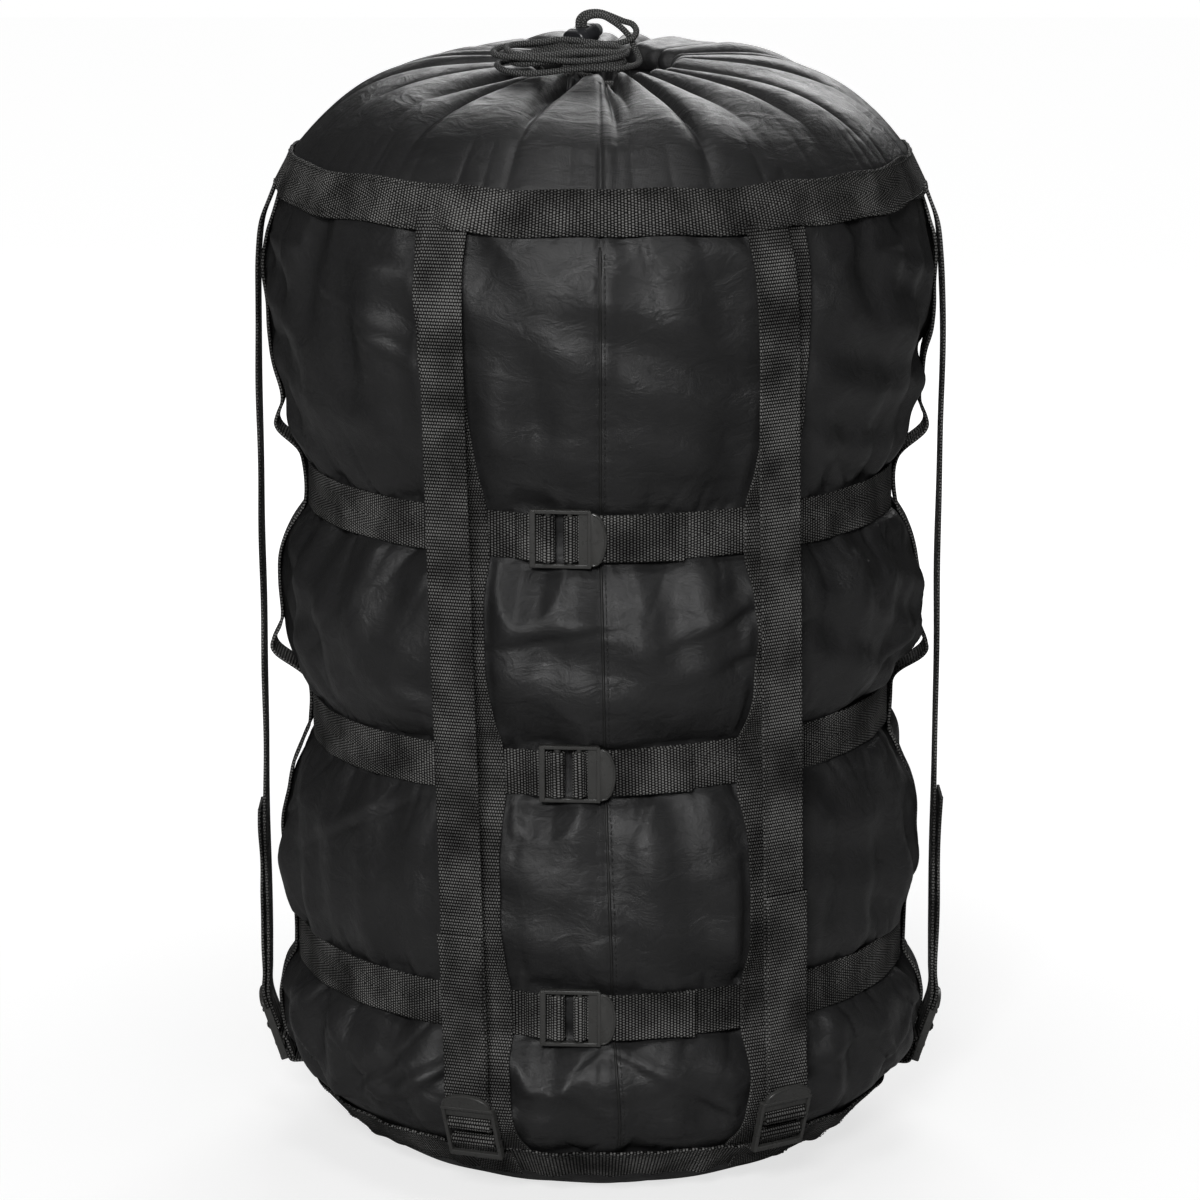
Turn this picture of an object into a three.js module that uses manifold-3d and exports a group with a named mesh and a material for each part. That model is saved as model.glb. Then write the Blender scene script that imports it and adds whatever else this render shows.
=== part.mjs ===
// A stuffed compression sack, drawn shut: a nylon tube that three girth straps cinch round the waist and six
// vertical straps pull down from a webbing ring at the shoulder to ladder locks at the base.
// Millimetres, +Z up. The origin is the middle of the flat base, and the front seam faces -Y.
import * as THREE from "three";
import { mergeVertices } from "three/addons/utils/BufferGeometryUtils.js";
import Module from "manifold-3d";

const wasm = await Module();
wasm.setup();

// ---------- driving dimensions ----------
const WEB_W = 25; // webbing width
const WEB_T = 1.4; // thickness of one layer of webbing
const CLOTH_T = 1.5; // thickness of the fabric shell
const LAYER_GAP = 0.8; // between a layer and what it lies on
const FACETS = 36; // round the sack
const RING_STEPS = 45; // round a girth strap, finer so that its chords clear the shell

const BASE_FLAT_R = 110; // the disc that the sack stands on
const BASE_RING = { low: [147, 17.5], high: [164, 36] }; // cone that the lower webbing ring lies on
const TOP_RING = { low: [176, 537], high: [168, 560.5] }; // cone that the shoulder ring lies on
const GIRTHS = [
  // lockTurn: where the middle of the ladder lock lies, in degrees from the front
  { name: "lower", r: 170, z: 115, lockTurn: -3.8 },
  { name: "middle", r: 160, z: 248, lockTurn: -4.1 },
  { name: "upper", r: 161, z: 376, lockTurn: -5.7 },
];
const BULGE_R = [183, 179, 179.5, 183]; // widest radius of each bulge, from the base up
const BULGE_POWER = 2.6; // how full a bulge is: 2 is a parabola, more is squarer
const BULGE_STEPS = 4;
const DOME_TOP = 607; // height of the gathered collar round the mouth
const DOME_POWER = 5;
const MOUTH_R = 52; // where the collar meets the hem

const STRAP_R = 190; // the vertical straps' straight run
const LINES = [
  // strap and runner: angle from the front at half height, and sideways lean; tailTop: height where the tail ends
  { name: "front_left", strap: [-24, 1.8], runner: [-23.4, 3.6], tailTop: 162 },
  { name: "front_right", strap: [30.5, 1.1], runner: [31.4, -1.2], tailTop: 182 },
  { name: "side_right", strap: [90, 0.6], runner: [90, 0.6], tailTop: 192 },
  { name: "back_right", strap: [150, -0.8], runner: [150, -0.8], tailTop: 170 },
  { name: "back_left", strap: [-149, 0.7], runner: [-149, 0.7], tailTop: 176 },
  { name: "side_left", strap: [-91, -0.5], runner: [-91, -0.5], tailTop: 184 },
];
const HALF_HEIGHT = 290; // the height that a strap or runner leans about

const HEM = { r: 45, z: 604.5, outer: 4.6, channel: 2.6 };
const CORD_R = 1.7; // the braided drawstring
const HANK = { centre: [-21, -46, 616.2], tilt: 10, half: 40, width: 13.8, thick: 12.6 };
const LOCK_CENTRE = [-9.5, -16, 623.8]; // of the cord lock

// ---------- small helpers ----------
const rad = THREE.MathUtils.degToRad;
const vec = (p) => new THREE.Vector2(p[0], p[1]);
const lerp = (a, b, t) => a + (b - a) * t;

// A polyline moved sideways by d, to the left of its direction, with mitred corners.
function offsetLine(points, d) {
  return points.map((p, i) => {
    const here = vec(p);
    const before = i > 0 ? here.clone().sub(vec(points[i - 1])).normalize() : null;
    const after = i < points.length - 1 ? vec(points[i + 1]).sub(here).normalize() : null;
    const a = before ?? after;
    const b = after ?? before;
    const normal = new THREE.Vector2(-a.y - b.y, a.x + b.x).normalize();
    const mitre = Math.max(0.5, normal.x * -a.y + normal.y * a.x);
    return [p[0] + (normal.x * d) / mitre, p[1] + (normal.y * d) / mitre];
  });
}

// The outline of a layer of webbing whose middle follows a line.
function webbingShape(line, thickness = WEB_T) {
  const left = offsetLine(line, thickness / 2);
  const right = offsetLine(line, -thickness / 2).reverse();
  return new THREE.Shape([...left, ...right].map(vec));
}

function extruded(shape, depth, curveSegments = 8) {
  return new THREE.ExtrudeGeometry(shape, { depth, bevelEnabled: false, curveSegments });
}

// An outline drawn in (radius, height), made as wide as the webbing, standing in the XZ plane.
function uprightWebbing(line) {
  return extruded(webbingShape(line), WEB_W)
    .translate(0, 0, -WEB_W / 2)
    .rotateX(Math.PI / 2);
}

function lathe(profile, segments = FACETS) {
  return new THREE.LatheGeometry(profile.map(vec), segments).rotateX(Math.PI / 2);
}

// A closed profile between an outer line and the same line moved inwards, for a thin turned shell.
function latheShell(outerLine, thickness) {
  const inner = offsetLine(outerLine, thickness).reverse();
  return lathe([...outerLine, ...inner, outerLine[0]]);
}

function solidOf(geometry) {
  const g = geometry.clone();
  g.deleteAttribute("normal");
  g.deleteAttribute("uv");
  const merged = mergeVertices(g, 1e-4);
  const triVerts = new Uint32Array(merged.index.array);
  const vertProperties = merged.attributes.position.array;
  return new wasm.Manifold(new wasm.Mesh({ numProp: 3, vertProperties, triVerts }));
}

function geometryOf(solid) {
  const m = solid.getMesh();
  const position = new Float32Array(m.vertProperties);
  return new THREE.BufferGeometry()
    .setAttribute("position", new THREE.BufferAttribute(position, 3))
    .setIndex(new THREE.BufferAttribute(new Uint32Array(m.triVerts), 1));
}

const joined = (pieces) => geometryOf(pieces.map(solidOf).reduce((a, b) => a.add(b)));

function cut(body, tools) {
  return geometryOf(tools.map(solidOf).reduce((a, b) => a.subtract(b), solidOf(body)));
}

// ---------- materials ----------
const material = (color, roughness) =>
  new THREE.MeshStandardMaterial({ color, roughness, metalness: 0 });
const nylon = material(0x1c1c1e, 0.42);
const webbing = material(0x191918, 0.8);
const plastic = material(0x222220, 0.45);
const lockPlastic = material(0x4a4c4c, 0.5);
const cordSheath = material(0x161616, 0.7);
const steel = material(0xb0b0ac, 0.3);
const padding = material(0x9a9a94, 0.9);

const sack = new THREE.Group();

function add(name, geometry, look, group = sack) {
  const mesh = new THREE.Mesh(geometry, look);
  mesh.name = name;
  group.add(mesh);
  return mesh;
}

// ---------- the fabric's outer line, from the base up, as [radius, height] ----------
// The points between two rings, bulging out to a widest radius.
function bulge(from, to, widest) {
  const swell = widest - (from[0] + to[0]) / 2;
  return Array.from({ length: BULGE_STEPS - 1 }, (_, i) => {
    const t = (i + 1) / BULGE_STEPS;
    const fullness = 1 - Math.abs(2 * t - 1) ** BULGE_POWER;
    return [lerp(from[0], to[0], t) + swell * fullness, lerp(from[1], to[1], t)];
  });
}

const waists = GIRTHS.map(({ r, z }) => [
  [r, z - WEB_W / 2 - 0.5],
  [r, z + WEB_W / 2 + 0.5],
]);
const stations = [[BASE_RING.low, BASE_RING.high], ...waists, [TOP_RING.low, TOP_RING.high]];
const bodyLine = stations.flatMap((station, i) => {
  const next = stations[i + 1];
  return next ? [...station, ...bulge(station[1], next[0], BULGE_R[i])] : station;
});

const baseLine = [
  [BASE_FLAT_R, 0],
  [132, 5],
];
const domeLine = [156, 142, 125, 104, 78].map((r) => [
  r,
  lerp(TOP_RING.high[1], DOME_TOP, 1 - (r / TOP_RING.high[0]) ** DOME_POWER),
]);

const radiusAt = (z) => {
  const i = bodyLine.findIndex((p) => p[1] >= z);
  const [a, b] = [bodyLine[i - 1], bodyLine[i]];
  return lerp(a[0], b[0], (z - a[1]) / (b[1] - a[1]));
};

// ---------- fabric ----------
const SEAM = 0.4; // between two sewn panels' edges
const along = (a, b, t) => [lerp(a[0], b[0], t), lerp(a[1], b[1], t)];
const baseSeam = along(BASE_RING.low, BASE_RING.high, 0.3);
const topSeam = along(TOP_RING.low, TOP_RING.high, 0.5);

const baseEdge = along(baseSeam, BASE_RING.low, SEAM / 7);
const basePanelLine = [[0, 0], ...baseLine, BASE_RING.low, baseEdge];
add(
  "base_panel",
  lathe([...basePanelLine, ...offsetLine(basePanelLine, CLOTH_T).reverse().slice(0, -1), [0, CLOTH_T]]),
  nylon,
);

const shellLine = [baseSeam, ...bodyLine.slice(1, -1), along(topSeam, TOP_RING.low, SEAM / 10)];
add("shell", latheShell(shellLine, CLOTH_T), nylon);

const collarLine = [topSeam, TOP_RING.high, ...domeLine, [MOUTH_R, DOME_TOP]];
add("collar", latheShell(collarLine, CLOTH_T), nylon);

const STUFFING_GAP = 2.4;
const STUFFING_TOP = 598;
const stuffingLine = offsetLine(
  [[0, 0], ...baseLine, ...bodyLine, ...domeLine],
  STUFFING_GAP,
).map(([r, z]) => [Math.max(0, r), Math.min(z, STUFFING_TOP)]);
add("stuffing", lathe([...stuffingLine, [0, STUFFING_TOP]]), padding);

// ---------- webbing rings ----------
function coneRing({ low, high }) {
  const inner = offsetLine([high, low], LAYER_GAP);
  const outer = offsetLine([low, high], -LAYER_GAP - WEB_T);
  return lathe([...outer, ...inner, outer[0]]);
}

add("bottom_ring", coneRing(BASE_RING), webbing);
add("top_ring", coneRing(TOP_RING), webbing);

// ---------- ladder lock, in its own frame: u from the anchor bar to the tab, n outwards, w across ----------
const LOCK = {
  railIn: 13.1,
  railOut: 15.7,
  railLow: -1.5,
  railHigh: 3.4,
  endBar: [-9.6, -6.2],
  anchorR: 2,
  gripU: 11.7,
  gripN: 1.2,
  gripR: 1.5,
  tabU: 17.8,
  tabLength: 13,
  tabLow: 1.5,
  tabHigh: 3.6,
};
const LOAD_N = -1.7; // the middle of the loaded strap under the lock
const TAIL_N = 0.2; // the middle of the tail under the tab
const LOCK_MID_U = 11; // halfway along the lock

function boxBetween(u0, u1, w0, w1, n0, n1) {
  return new THREE.BoxGeometry(u1 - u0, w1 - w0, n1 - n0).translate(
    (u0 + u1) / 2,
    (w0 + w1) / 2,
    (n0 + n1) / 2,
  );
}

function bar(u, n, r, halfWidth) {
  return new THREE.CylinderGeometry(r, r, 2 * halfWidth, 10).translate(u, 0, n);
}

// Here X is u, Y is w and Z is n.
function ladderLock() {
  const { railIn, railOut, railLow, railHigh, endBar, tabU, tabLow, tabHigh } = LOCK;
  const rails = [-1, 1].map((side) => {
    const [w0, w1] = side > 0 ? [railIn, railOut] : [-railOut, -railIn];
    return boxBetween(endBar[0], tabU + 1.5, w0, w1, railLow, railHigh);
  });
  const overlap = 0.2; // so that the joined solids share some volume
  const tab = new THREE.Shape();
  tab.moveTo(tabU, -railOut + overlap);
  tab.lineTo(tabU, railOut - overlap);
  tab.lineTo(tabU + 2, railOut - overlap);
  tab.quadraticCurveTo(tabU + LOCK.tabLength, railOut * 0.75, tabU + LOCK.tabLength, 0);
  tab.quadraticCurveTo(tabU + LOCK.tabLength, -railOut * 0.75, tabU + 2, -railOut + overlap);
  return joined([
    ...rails,
    boxBetween(endBar[0] + overlap, endBar[1], -railIn - 1, railIn + 1, 1.6, railHigh - overlap),
    bar(0, 0, LOCK.anchorR, railIn + 1),
    bar(LOCK.gripU, LOCK.gripN, LOCK.gripR, railIn + 1),
    extruded(tab, tabHigh - tabLow, 5).translate(0, 0, tabLow),
  ]);
}

// Sets a mesh down with its X axis along u and its Z axis along n.
function standAt(mesh, origin, u, n) {
  mesh.position.copy(origin);
  const across = new THREE.Vector3().crossVectors(n, u);
  mesh.setRotationFromMatrix(new THREE.Matrix4().makeBasis(u, across, n));
}

// Points on a circle round (u, n), from one angle to another, in degrees.
function arc(u, n, r, from, to, steps) {
  return Array.from({ length: steps + 1 }, (_, i) => {
    const a = rad(lerp(from, to, i / steps));
    return [u + r * Math.cos(a), n + r * Math.sin(a)];
  });
}

// Webbing folded round the anchor bar: over it from the left, round its far side and back below.
const BAR_GAP = 0.4; // between a bar and the webbing folded over it
const HOOK_R = LOCK.anchorR + BAR_GAP + WEB_T / 2;
const hook = [
  [-12, -1.6],
  [-7.5, -1.2],
  ...arc(0, 0, HOOK_R, 150, -90, 8),
  [-6, -HOOK_R],
  [-11, -HOOK_R - 0.3],
];
// Webbing folded over the grip bar, then out under the tab.
const FOLD_R = LOCK.gripR + BAR_GAP + WEB_T / 2;
const fold = [
  [LOCK.gripU - FOLD_R, -0.4],
  ...arc(LOCK.gripU, LOCK.gripN, FOLD_R, 180, 20, 6),
  [15.2, 0.5],
  [17, TAIL_N],
];

// ---------- the six vertical lines: runner, strap, anchor, ladder lock and tail ----------
const LOCK_Z = 57; // height of a ladder lock's middle on the sack
const LOCK_LIFT = 6.9; // from the fabric to the anchor bar's middle, with the runner passing beneath
const lean = Math.atan2(radiusAt(LOCK_Z + 6) - radiusAt(LOCK_Z - 6), 12);
const uDir = [Math.sin(lean), Math.cos(lean)];
const nDir = [Math.cos(lean), -Math.sin(lean)];
const lockOrigin = [
  radiusAt(LOCK_Z) + LOCK_LIFT * nDir[0] - LOCK_MID_U * uDir[0],
  LOCK_Z + LOCK_LIFT * nDir[1] - LOCK_MID_U * uDir[1],
];
// A point of the lock's frame as [radius, height].
const fromLock = ([u, n]) => [
  lockOrigin[0] + u * uDir[0] + n * nDir[0],
  lockOrigin[1] + u * uDir[1] + n * nDir[1],
];

const RUNNER_LIFT = 1.8; // from the fabric to the runner's middle
const GIRTH_LIFT = 3.8; // from the waist to the runner's middle where it passes over a girth strap
const isWaist = (z) => GIRTHS.some((g) => Math.abs(g.z - z) < WEB_W / 2 + 1);
const underRunner = [
  along(bodyLine[1], bodyLine[2], 0.35),
  ...bodyLine.slice(2, -2),
  along(bodyLine.at(-3), bodyLine.at(-2), 0.93),
];
const overGirths = offsetLine(underRunner, -GIRTH_LIFT);
const runnerLine = offsetLine(underRunner, -RUNNER_LIFT).map((p, i) =>
  isWaist(underRunner[i][1]) ? overGirths[i] : p,
);

const strapLine = [
  fromLock([8, LOAD_N]),
  fromLock([LOCK.tabU + LOCK.tabLength - 3, LOAD_N]),
  [STRAP_R + 0.4, 86],
  [STRAP_R, 110],
  [STRAP_R, 300],
  [STRAP_R, 480],
  [STRAP_R - 1, 503],
  [186.6, 521],
  [181.5, 533.5],
];

const ringNormal = [0.737, -0.677]; // outwards from the cone that the bottom ring lies on
const ANCHOR_LIFT = 2 * LAYER_GAP + WEB_T * 1.5;
const onBottomRing = (t) => {
  const [r, z] = along(BASE_RING.low, BASE_RING.high, t);
  return [r + ringNormal[0] * ANCHOR_LIFT, z + ringNormal[1] * ANCHOR_LIFT];
};
const anchorLine = [onBottomRing(0.05), onBottomRing(0.95), ...hook.map(fromLock)];

function tailLine(top) {
  const lift = WEB_T + 0.6; // the tail lies on the strap
  return [
    ...fold.map(fromLock),
    fromLock([LOCK.tabU + LOCK.tabLength, TAIL_N]),
    [STRAP_R + lift + 0.4, 87],
    [STRAP_R + lift, 110],
    [STRAP_R + lift + 0.3, top - 20],
    [STRAP_R + lift + 1.4, top],
  ];
}

// A group that turns what stands at the +X side to a line's angle and leans it sideways about half height.
function leaningGroup([turn, sideways]) {
  const inner = new THREE.Group();
  inner.position.z = -HALF_HEIGHT;
  const leaning = new THREE.Group();
  leaning.position.z = HALF_HEIGHT;
  leaning.rotation.set(rad(sideways), 0, rad(turn - 90), "ZYX");
  leaning.add(inner);
  sack.add(leaning);
  return inner;
}

for (const { name, strap, runner, tailTop } of LINES) {
  add(`runner_${name}`, uprightWebbing(runnerLine), webbing, leaningGroup(runner));
  const line = leaningGroup(strap);
  add(`strap_${name}`, uprightWebbing(strapLine), webbing, line);
  add(`anchor_${name}`, uprightWebbing(anchorLine), webbing, line);
  add(`strap_tail_${name}`, uprightWebbing(tailLine(tailTop)), webbing, line);
  standAt(
    add(`ladder_lock_${name}`, ladderLock(), plastic, line),
    new THREE.Vector3(lockOrigin[0], 0, lockOrigin[1]),
    new THREE.Vector3(uDir[0], 0, uDir[1]),
    new THREE.Vector3(nDir[0], 0, nDir[1]),
  );
}

// ---------- the three girth straps, each a ring with a ladder lock near the front seam ----------
const GIRTH_LOCK_LIFT = 4.2; // from the waist to the anchor bar's middle
const GIRTH_TAIL_LENGTH = 30; // of tail beyond the tab
const WAIST_FROM = 10; // degrees from the lock's middle to where the strap meets the waist, on the bar's side
const WAIST_TO = 15; // and on the tab's side
const TAIL_FROM = 13; // degrees from the lock's middle to where the tail bends round the waist

// From a girth lock's frame to the XY plane, with u running to the right.
function girthFrame(waistR, lockTurn) {
  const a = rad(lockTurn - 90);
  const out = [Math.cos(a), Math.sin(a)];
  const right = [-out[1], out[0]];
  const originOut = waistR + GIRTH_LOCK_LIFT;
  return ([u, n]) => [
    out[0] * (originOut + n) + right[0] * (u - LOCK_MID_U),
    out[1] * (originOut + n) + right[1] * (u - LOCK_MID_U),
  ];
}

// A point at radius r, at an angle in degrees from the front.
function roundWaist(r, angle) {
  const a = rad(angle - 90);
  return [r * Math.cos(a), r * Math.sin(a)];
}

for (const { name, r, z, lockTurn } of GIRTHS) {
  const toPlan = girthFrame(r, lockTurn);
  const strapR = r + LAYER_GAP + WEB_T / 2;
  const turns = Array.from({ length: RING_STEPS }, (_, i) =>
    roundWaist(strapR, lockTurn - lerp(WAIST_FROM, 360 - WAIST_TO, i / (RING_STEPS - 1))),
  );
  const ring = [
    ...hook.slice().reverse().map(toPlan),
    ...turns,
    toPlan([LOCK.tabU + LOCK.tabLength, LOAD_N]),
    toPlan([8, LOAD_N]),
  ];
  add(`girth_strap_${name}`, extruded(webbingShape(ring), WEB_W), webbing).position.z = z - WEB_W / 2;

  const tabEnd = LOCK.tabU + LOCK.tabLength;
  const tailR = strapR + WEB_T + 2.2;
  const tailTo = TAIL_FROM + THREE.MathUtils.radToDeg(GIRTH_TAIL_LENGTH / tailR) - 2;
  const tail = [
    ...fold.map(toPlan),
    toPlan([tabEnd, TAIL_N]),
    ...[0.15, 0.6, 1].map((t) => roundWaist(tailR, lockTurn + lerp(TAIL_FROM, tailTo, t))),
  ];
  add(`girth_tail_${name}`, extruded(webbingShape(tail), WEB_W), webbing).position.z = z - WEB_W / 2;

  const a = rad(lockTurn);
  standAt(
    add(`girth_ladder_lock_${name}`, ladderLock(), plastic),
    new THREE.Vector3(...toPlan([0, 0]), z),
    new THREE.Vector3(Math.cos(a), Math.sin(a), 0),
    new THREE.Vector3(Math.sin(a), -Math.cos(a), 0),
  );
}

// ---------- the hem round the mouth, open on its inner side, and the drawstring in it ----------
const hemOuter = arc(HEM.r, HEM.z, HEM.outer, 145, -145, 8);
const hemInner = arc(HEM.r, HEM.z, HEM.channel, -125, 125, 5);
add("mouth_hem", lathe([...hemOuter, ...hemInner, hemOuter[0]].reverse(), 24), nylon);

// A round cord along a smooth curve through points.
function cordAlong(points, steps, sides = 8) {
  const section = new THREE.Shape(arc(0, 0, CORD_R, 0, 360 - 360 / sides, sides - 1).map(vec));
  const through = points.map((p) => new THREE.Vector3(...p));
  const extrudePath = new THREE.CatmullRomCurve3(through, false, "centripetal");
  return new THREE.ExtrudeGeometry(section, { steps, bevelEnabled: false, extrudePath });
}

const EXIT_A = -4; // degrees from the front to each end of the cord's run in the hem
const EXIT_B = -31;
const hemCord = Array.from({ length: 25 }, (_, i) => {
  const a = rad(lerp(EXIT_A, EXIT_B + 360, i / 24) - 90);
  return [HEM.r * Math.cos(a), HEM.r * Math.sin(a), HEM.z];
});
add("drawstring_in_hem", cordAlong(hemCord, 36, 6), cordSheath);

// ---------- cord lock: an oval barrel, a plunger with a matching slot and a spring behind it ----------
const BARREL = { width: 15, thick: 10.5, low: -6.5, high: 9.5, wall: 1.2 };
const PLUNGER = { width: 11.8, thick: 7.4, low: -12, high: 4 };
const PLUNGER_TRAVEL = 2;
const STRAND_OFF = 1.85; // from the lock's middle to each of the two strands through it
const SLOT = { width: 2 * (STRAND_OFF + CORD_R + 0.6), height: 2 * (CORD_R + 0.6) };

const lockCentre = new THREE.Vector3(...LOCK_CENTRE);
const barrelDir = new THREE.Vector3(-0.55, -0.81, -0.2).normalize(); // towards the closed end
const cordDir = new THREE.Vector3(0, 0, 1).projectOnPlane(barrelDir).normalize();
const strandDir = new THREE.Vector3().crossVectors(barrelDir, cordDir);

// An oval with round ends, its longer side along Y.
function oval(width, thick) {
  const r = thick / 2;
  const straight = width / 2 - r;
  return new THREE.Shape()
    .absarc(0, straight, r, 0, Math.PI, false)
    .absarc(0, -straight, r, Math.PI, 2 * Math.PI, false);
}

// In the lock's frame X is along the cords, Y from one strand to the other and Z towards the closed end.
const ovalRod = (width, thick, low, high) => extruded(oval(width, thick), high - low, 7).translate(0, 0, low);
const crossSlot = (z) => ovalRod(SLOT.width, SLOT.height, -15, 15).rotateY(Math.PI / 2).translate(0, 0, z);

const cordLock = new THREE.Group();
const cavity = ovalRod(
  BARREL.width - 2 * BARREL.wall,
  BARREL.thick - 2 * BARREL.wall,
  BARREL.low - 1,
  BARREL.high - BARREL.wall,
);
add(
  "cord_lock_barrel",
  cut(ovalRod(BARREL.width, BARREL.thick, BARREL.low, BARREL.high), [cavity, crossSlot(0)]),
  lockPlastic,
  cordLock,
);
add(
  "cord_lock_plunger",
  cut(ovalRod(PLUNGER.width, PLUNGER.thick, PLUNGER.low, PLUNGER.high), [
    crossSlot(0),
    crossSlot(-PLUNGER_TRAVEL),
  ]),
  lockPlastic,
  cordLock,
);
const SPRING = { r: 2.8, wire: 0.3, turns: 2, steps: 24, gap: 0.65 };
const springPath = Array.from({ length: SPRING.steps + 1 }, (_, i) => {
  const t = i / SPRING.steps;
  const a = t * SPRING.turns * 2 * Math.PI;
  const z = lerp(PLUNGER.high + SPRING.gap, BARREL.high - BARREL.wall - SPRING.gap, t);
  return new THREE.Vector3(SPRING.r * Math.cos(a), SPRING.r * Math.sin(a), z);
});
add(
  "cord_lock_spring",
  new THREE.ExtrudeGeometry(new THREE.Shape(arc(0, 0, SPRING.wire, 0, 288, 4).map(vec)), {
    steps: SPRING.steps,
    bevelEnabled: false,
    extrudePath: new THREE.CatmullRomCurve3(springPath),
  }),
  steel,
  cordLock,
);
standAt(cordLock, lockCentre, cordDir, barrelDir);
sack.add(cordLock);

// ---------- the free drawstring: two strands from the hem through the lock to a hank over the mouth ----------
const hankShape = oval(2 * HANK.half, 2 * HANK.width);
const hank = add(
  "drawstring_hank",
  extruded(hankShape, HANK.thick, 8).rotateZ(Math.PI / 2).translate(0, 0, -HANK.thick / 2),
  cordSheath,
);
hank.position.set(...HANK.centre);
hank.rotation.x = rad(HANK.tilt);

// A point on one of the strands in the lock, d along it from the lock's middle.
const onStrand = (side, d) =>
  lockCentre
    .clone()
    .addScaledVector(strandDir, side * STRAND_OFF)
    .addScaledVector(cordDir, d)
    .toArray();

const leadRoute = [
  [-4.1, -44.8, 604.5],
  [-7.5, -43.6, 604.5],
  [-10.2, -39.6, 604.6],
  [-10.4, -33.5, 605.2],
  [-9.4, -26, 606.4],
  [-8.4, -20, 609.6],
  onStrand(-1, -6.5),
  onStrand(-1, 0),
  onStrand(-1, 6.5),
  [-8.3, -19, 632.3],
  [-5.8, -19.6, 634.2],
  [-2.2, -20.6, 635],
  [2.2, -21.9, 634.6],
  [6, -23.6, 632.7],
  [11.5, -26, 629],
  [16, -27.8, 624.2],
  [19.2, -28.8, 619],
];
add("drawstring_lead", cordAlong(leadRoute, 24), cordSheath);

const returnRoute = [
  [-21.9, -39.2, 604.5],
  [-18.4, -39.6, 604.5],
  [-16.1, -36.6, 604.6],
  [-15.6, -31, 605.2],
  [-14.2, -24, 606.4],
  [-12.2, -17, 609.6],
  onStrand(1, -6.5),
  onStrand(1, 0),
  onStrand(1, 6.5),
  [-11.3, -16, 632.6],
  [-8.8, -15.9, 635.1],
  [-5, -16.3, 636.3],
  [0, -17.1, 636.3],
  [4.5, -18.4, 635],
  [11, -20.5, 632.2],
  [17.5, -23, 626.8],
  [23.2, -25.5, 620.2],
];
add("drawstring_return", cordAlong(returnRoute, 26), cordSheath);

export default sack;
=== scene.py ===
import math

import bmesh
import bpy
import numpy as np
from mathutils import Matrix, Vector


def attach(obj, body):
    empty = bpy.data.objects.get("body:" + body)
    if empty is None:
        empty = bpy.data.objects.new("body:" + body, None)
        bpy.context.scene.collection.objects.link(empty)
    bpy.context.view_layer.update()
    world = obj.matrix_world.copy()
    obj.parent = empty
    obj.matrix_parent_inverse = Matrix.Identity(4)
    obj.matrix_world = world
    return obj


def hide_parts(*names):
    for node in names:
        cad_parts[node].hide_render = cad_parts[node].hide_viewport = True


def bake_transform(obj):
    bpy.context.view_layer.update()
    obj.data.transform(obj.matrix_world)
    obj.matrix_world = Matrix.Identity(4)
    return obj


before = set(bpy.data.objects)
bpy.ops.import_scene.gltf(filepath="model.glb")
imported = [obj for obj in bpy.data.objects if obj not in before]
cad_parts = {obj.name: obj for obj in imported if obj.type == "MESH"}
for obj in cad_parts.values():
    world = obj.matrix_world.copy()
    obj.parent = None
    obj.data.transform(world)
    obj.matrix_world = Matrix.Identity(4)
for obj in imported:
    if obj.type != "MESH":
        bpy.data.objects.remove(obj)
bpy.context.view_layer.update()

# Lengths below are in millimetres, as in the CAD source, and become metres when a mesh is made.
MM = 0.001
WEB_W = 25.0
WEB_T = 1.4
LAYER_GAP = 0.8  # between the fabric and a webbing layer
BASE_FLAT_R = 110.0
# (radius, height) of each webbing ring's edges, and (radius, height, its lock's turn) of each girth strap
BASE_RING = ((147.0, 17.5), (164.0, 36.0))
TOP_RING = ((176.0, 537.0), (168.0, 560.5))
GIRTHS = {"lower": (170.0, 115.0, -3.8), "middle": (160.0, 248.0, -4.1), "upper": (161.0, 376.0, -5.7)}
BULGE_R = (183.0, 179.0, 179.5, 183.0)
STRAP_R = 190.0
CLOTH_R = 180.0  # the fabric's mean radius
HALF_HEIGHT = 290.0
LINES = {  # turn and lean of the strap, top of its tail, turn and lean of the runner beneath it
    "front_left": (-24.0, 1.8, 162.0, -23.4, 3.6),
    "front_right": (30.5, 1.1, 182.0, 31.4, -1.2),
    "side_right": (90.0, 0.6, 192.0, 90.0, 0.6),
    "back_right": (150.0, -0.8, 170.0, 150.0, -0.8),
    "back_left": (-149.0, 0.7, 176.0, -149.0, 0.7),
    "side_left": (-91.0, -0.5, 184.0, -91.0, -0.5),
}
DOME_TOP = 607.0
DOME_POWER = 5.0
HEM = {"r": 45.0, "z": 604.5}
CORD_R = 1.7
UP = np.array([0, 0, 1.0])
rng = np.random.default_rng(11)


# ---------- camera, light and floor ----------
scene = bpy.context.scene
camera = bpy.data.objects.new("camera", bpy.data.cameras.new("camera"))
scene.collection.objects.link(camera)
camera.location = (0, -2.5, 0.895)
camera.rotation_euler = (math.radians(90 - 13.3), 0, 0)
camera.data.lens = 136.65
camera.data.sensor_width = 36
scene.camera = camera
scene.view_settings.view_transform = "Standard"


def area_light(name, place, aim, size, power):
    light = bpy.data.lights.new(name, "AREA")
    light.shape = "RECTANGLE"
    light.size, light.size_y = size
    light.energy = power
    lamp = bpy.data.objects.new(name, light)
    lamp.location = place
    lamp.rotation_euler = (Vector(aim) - Vector(place)).to_track_quat("-Z", "Y").to_euler()
    scene.collection.objects.link(lamp)


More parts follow.
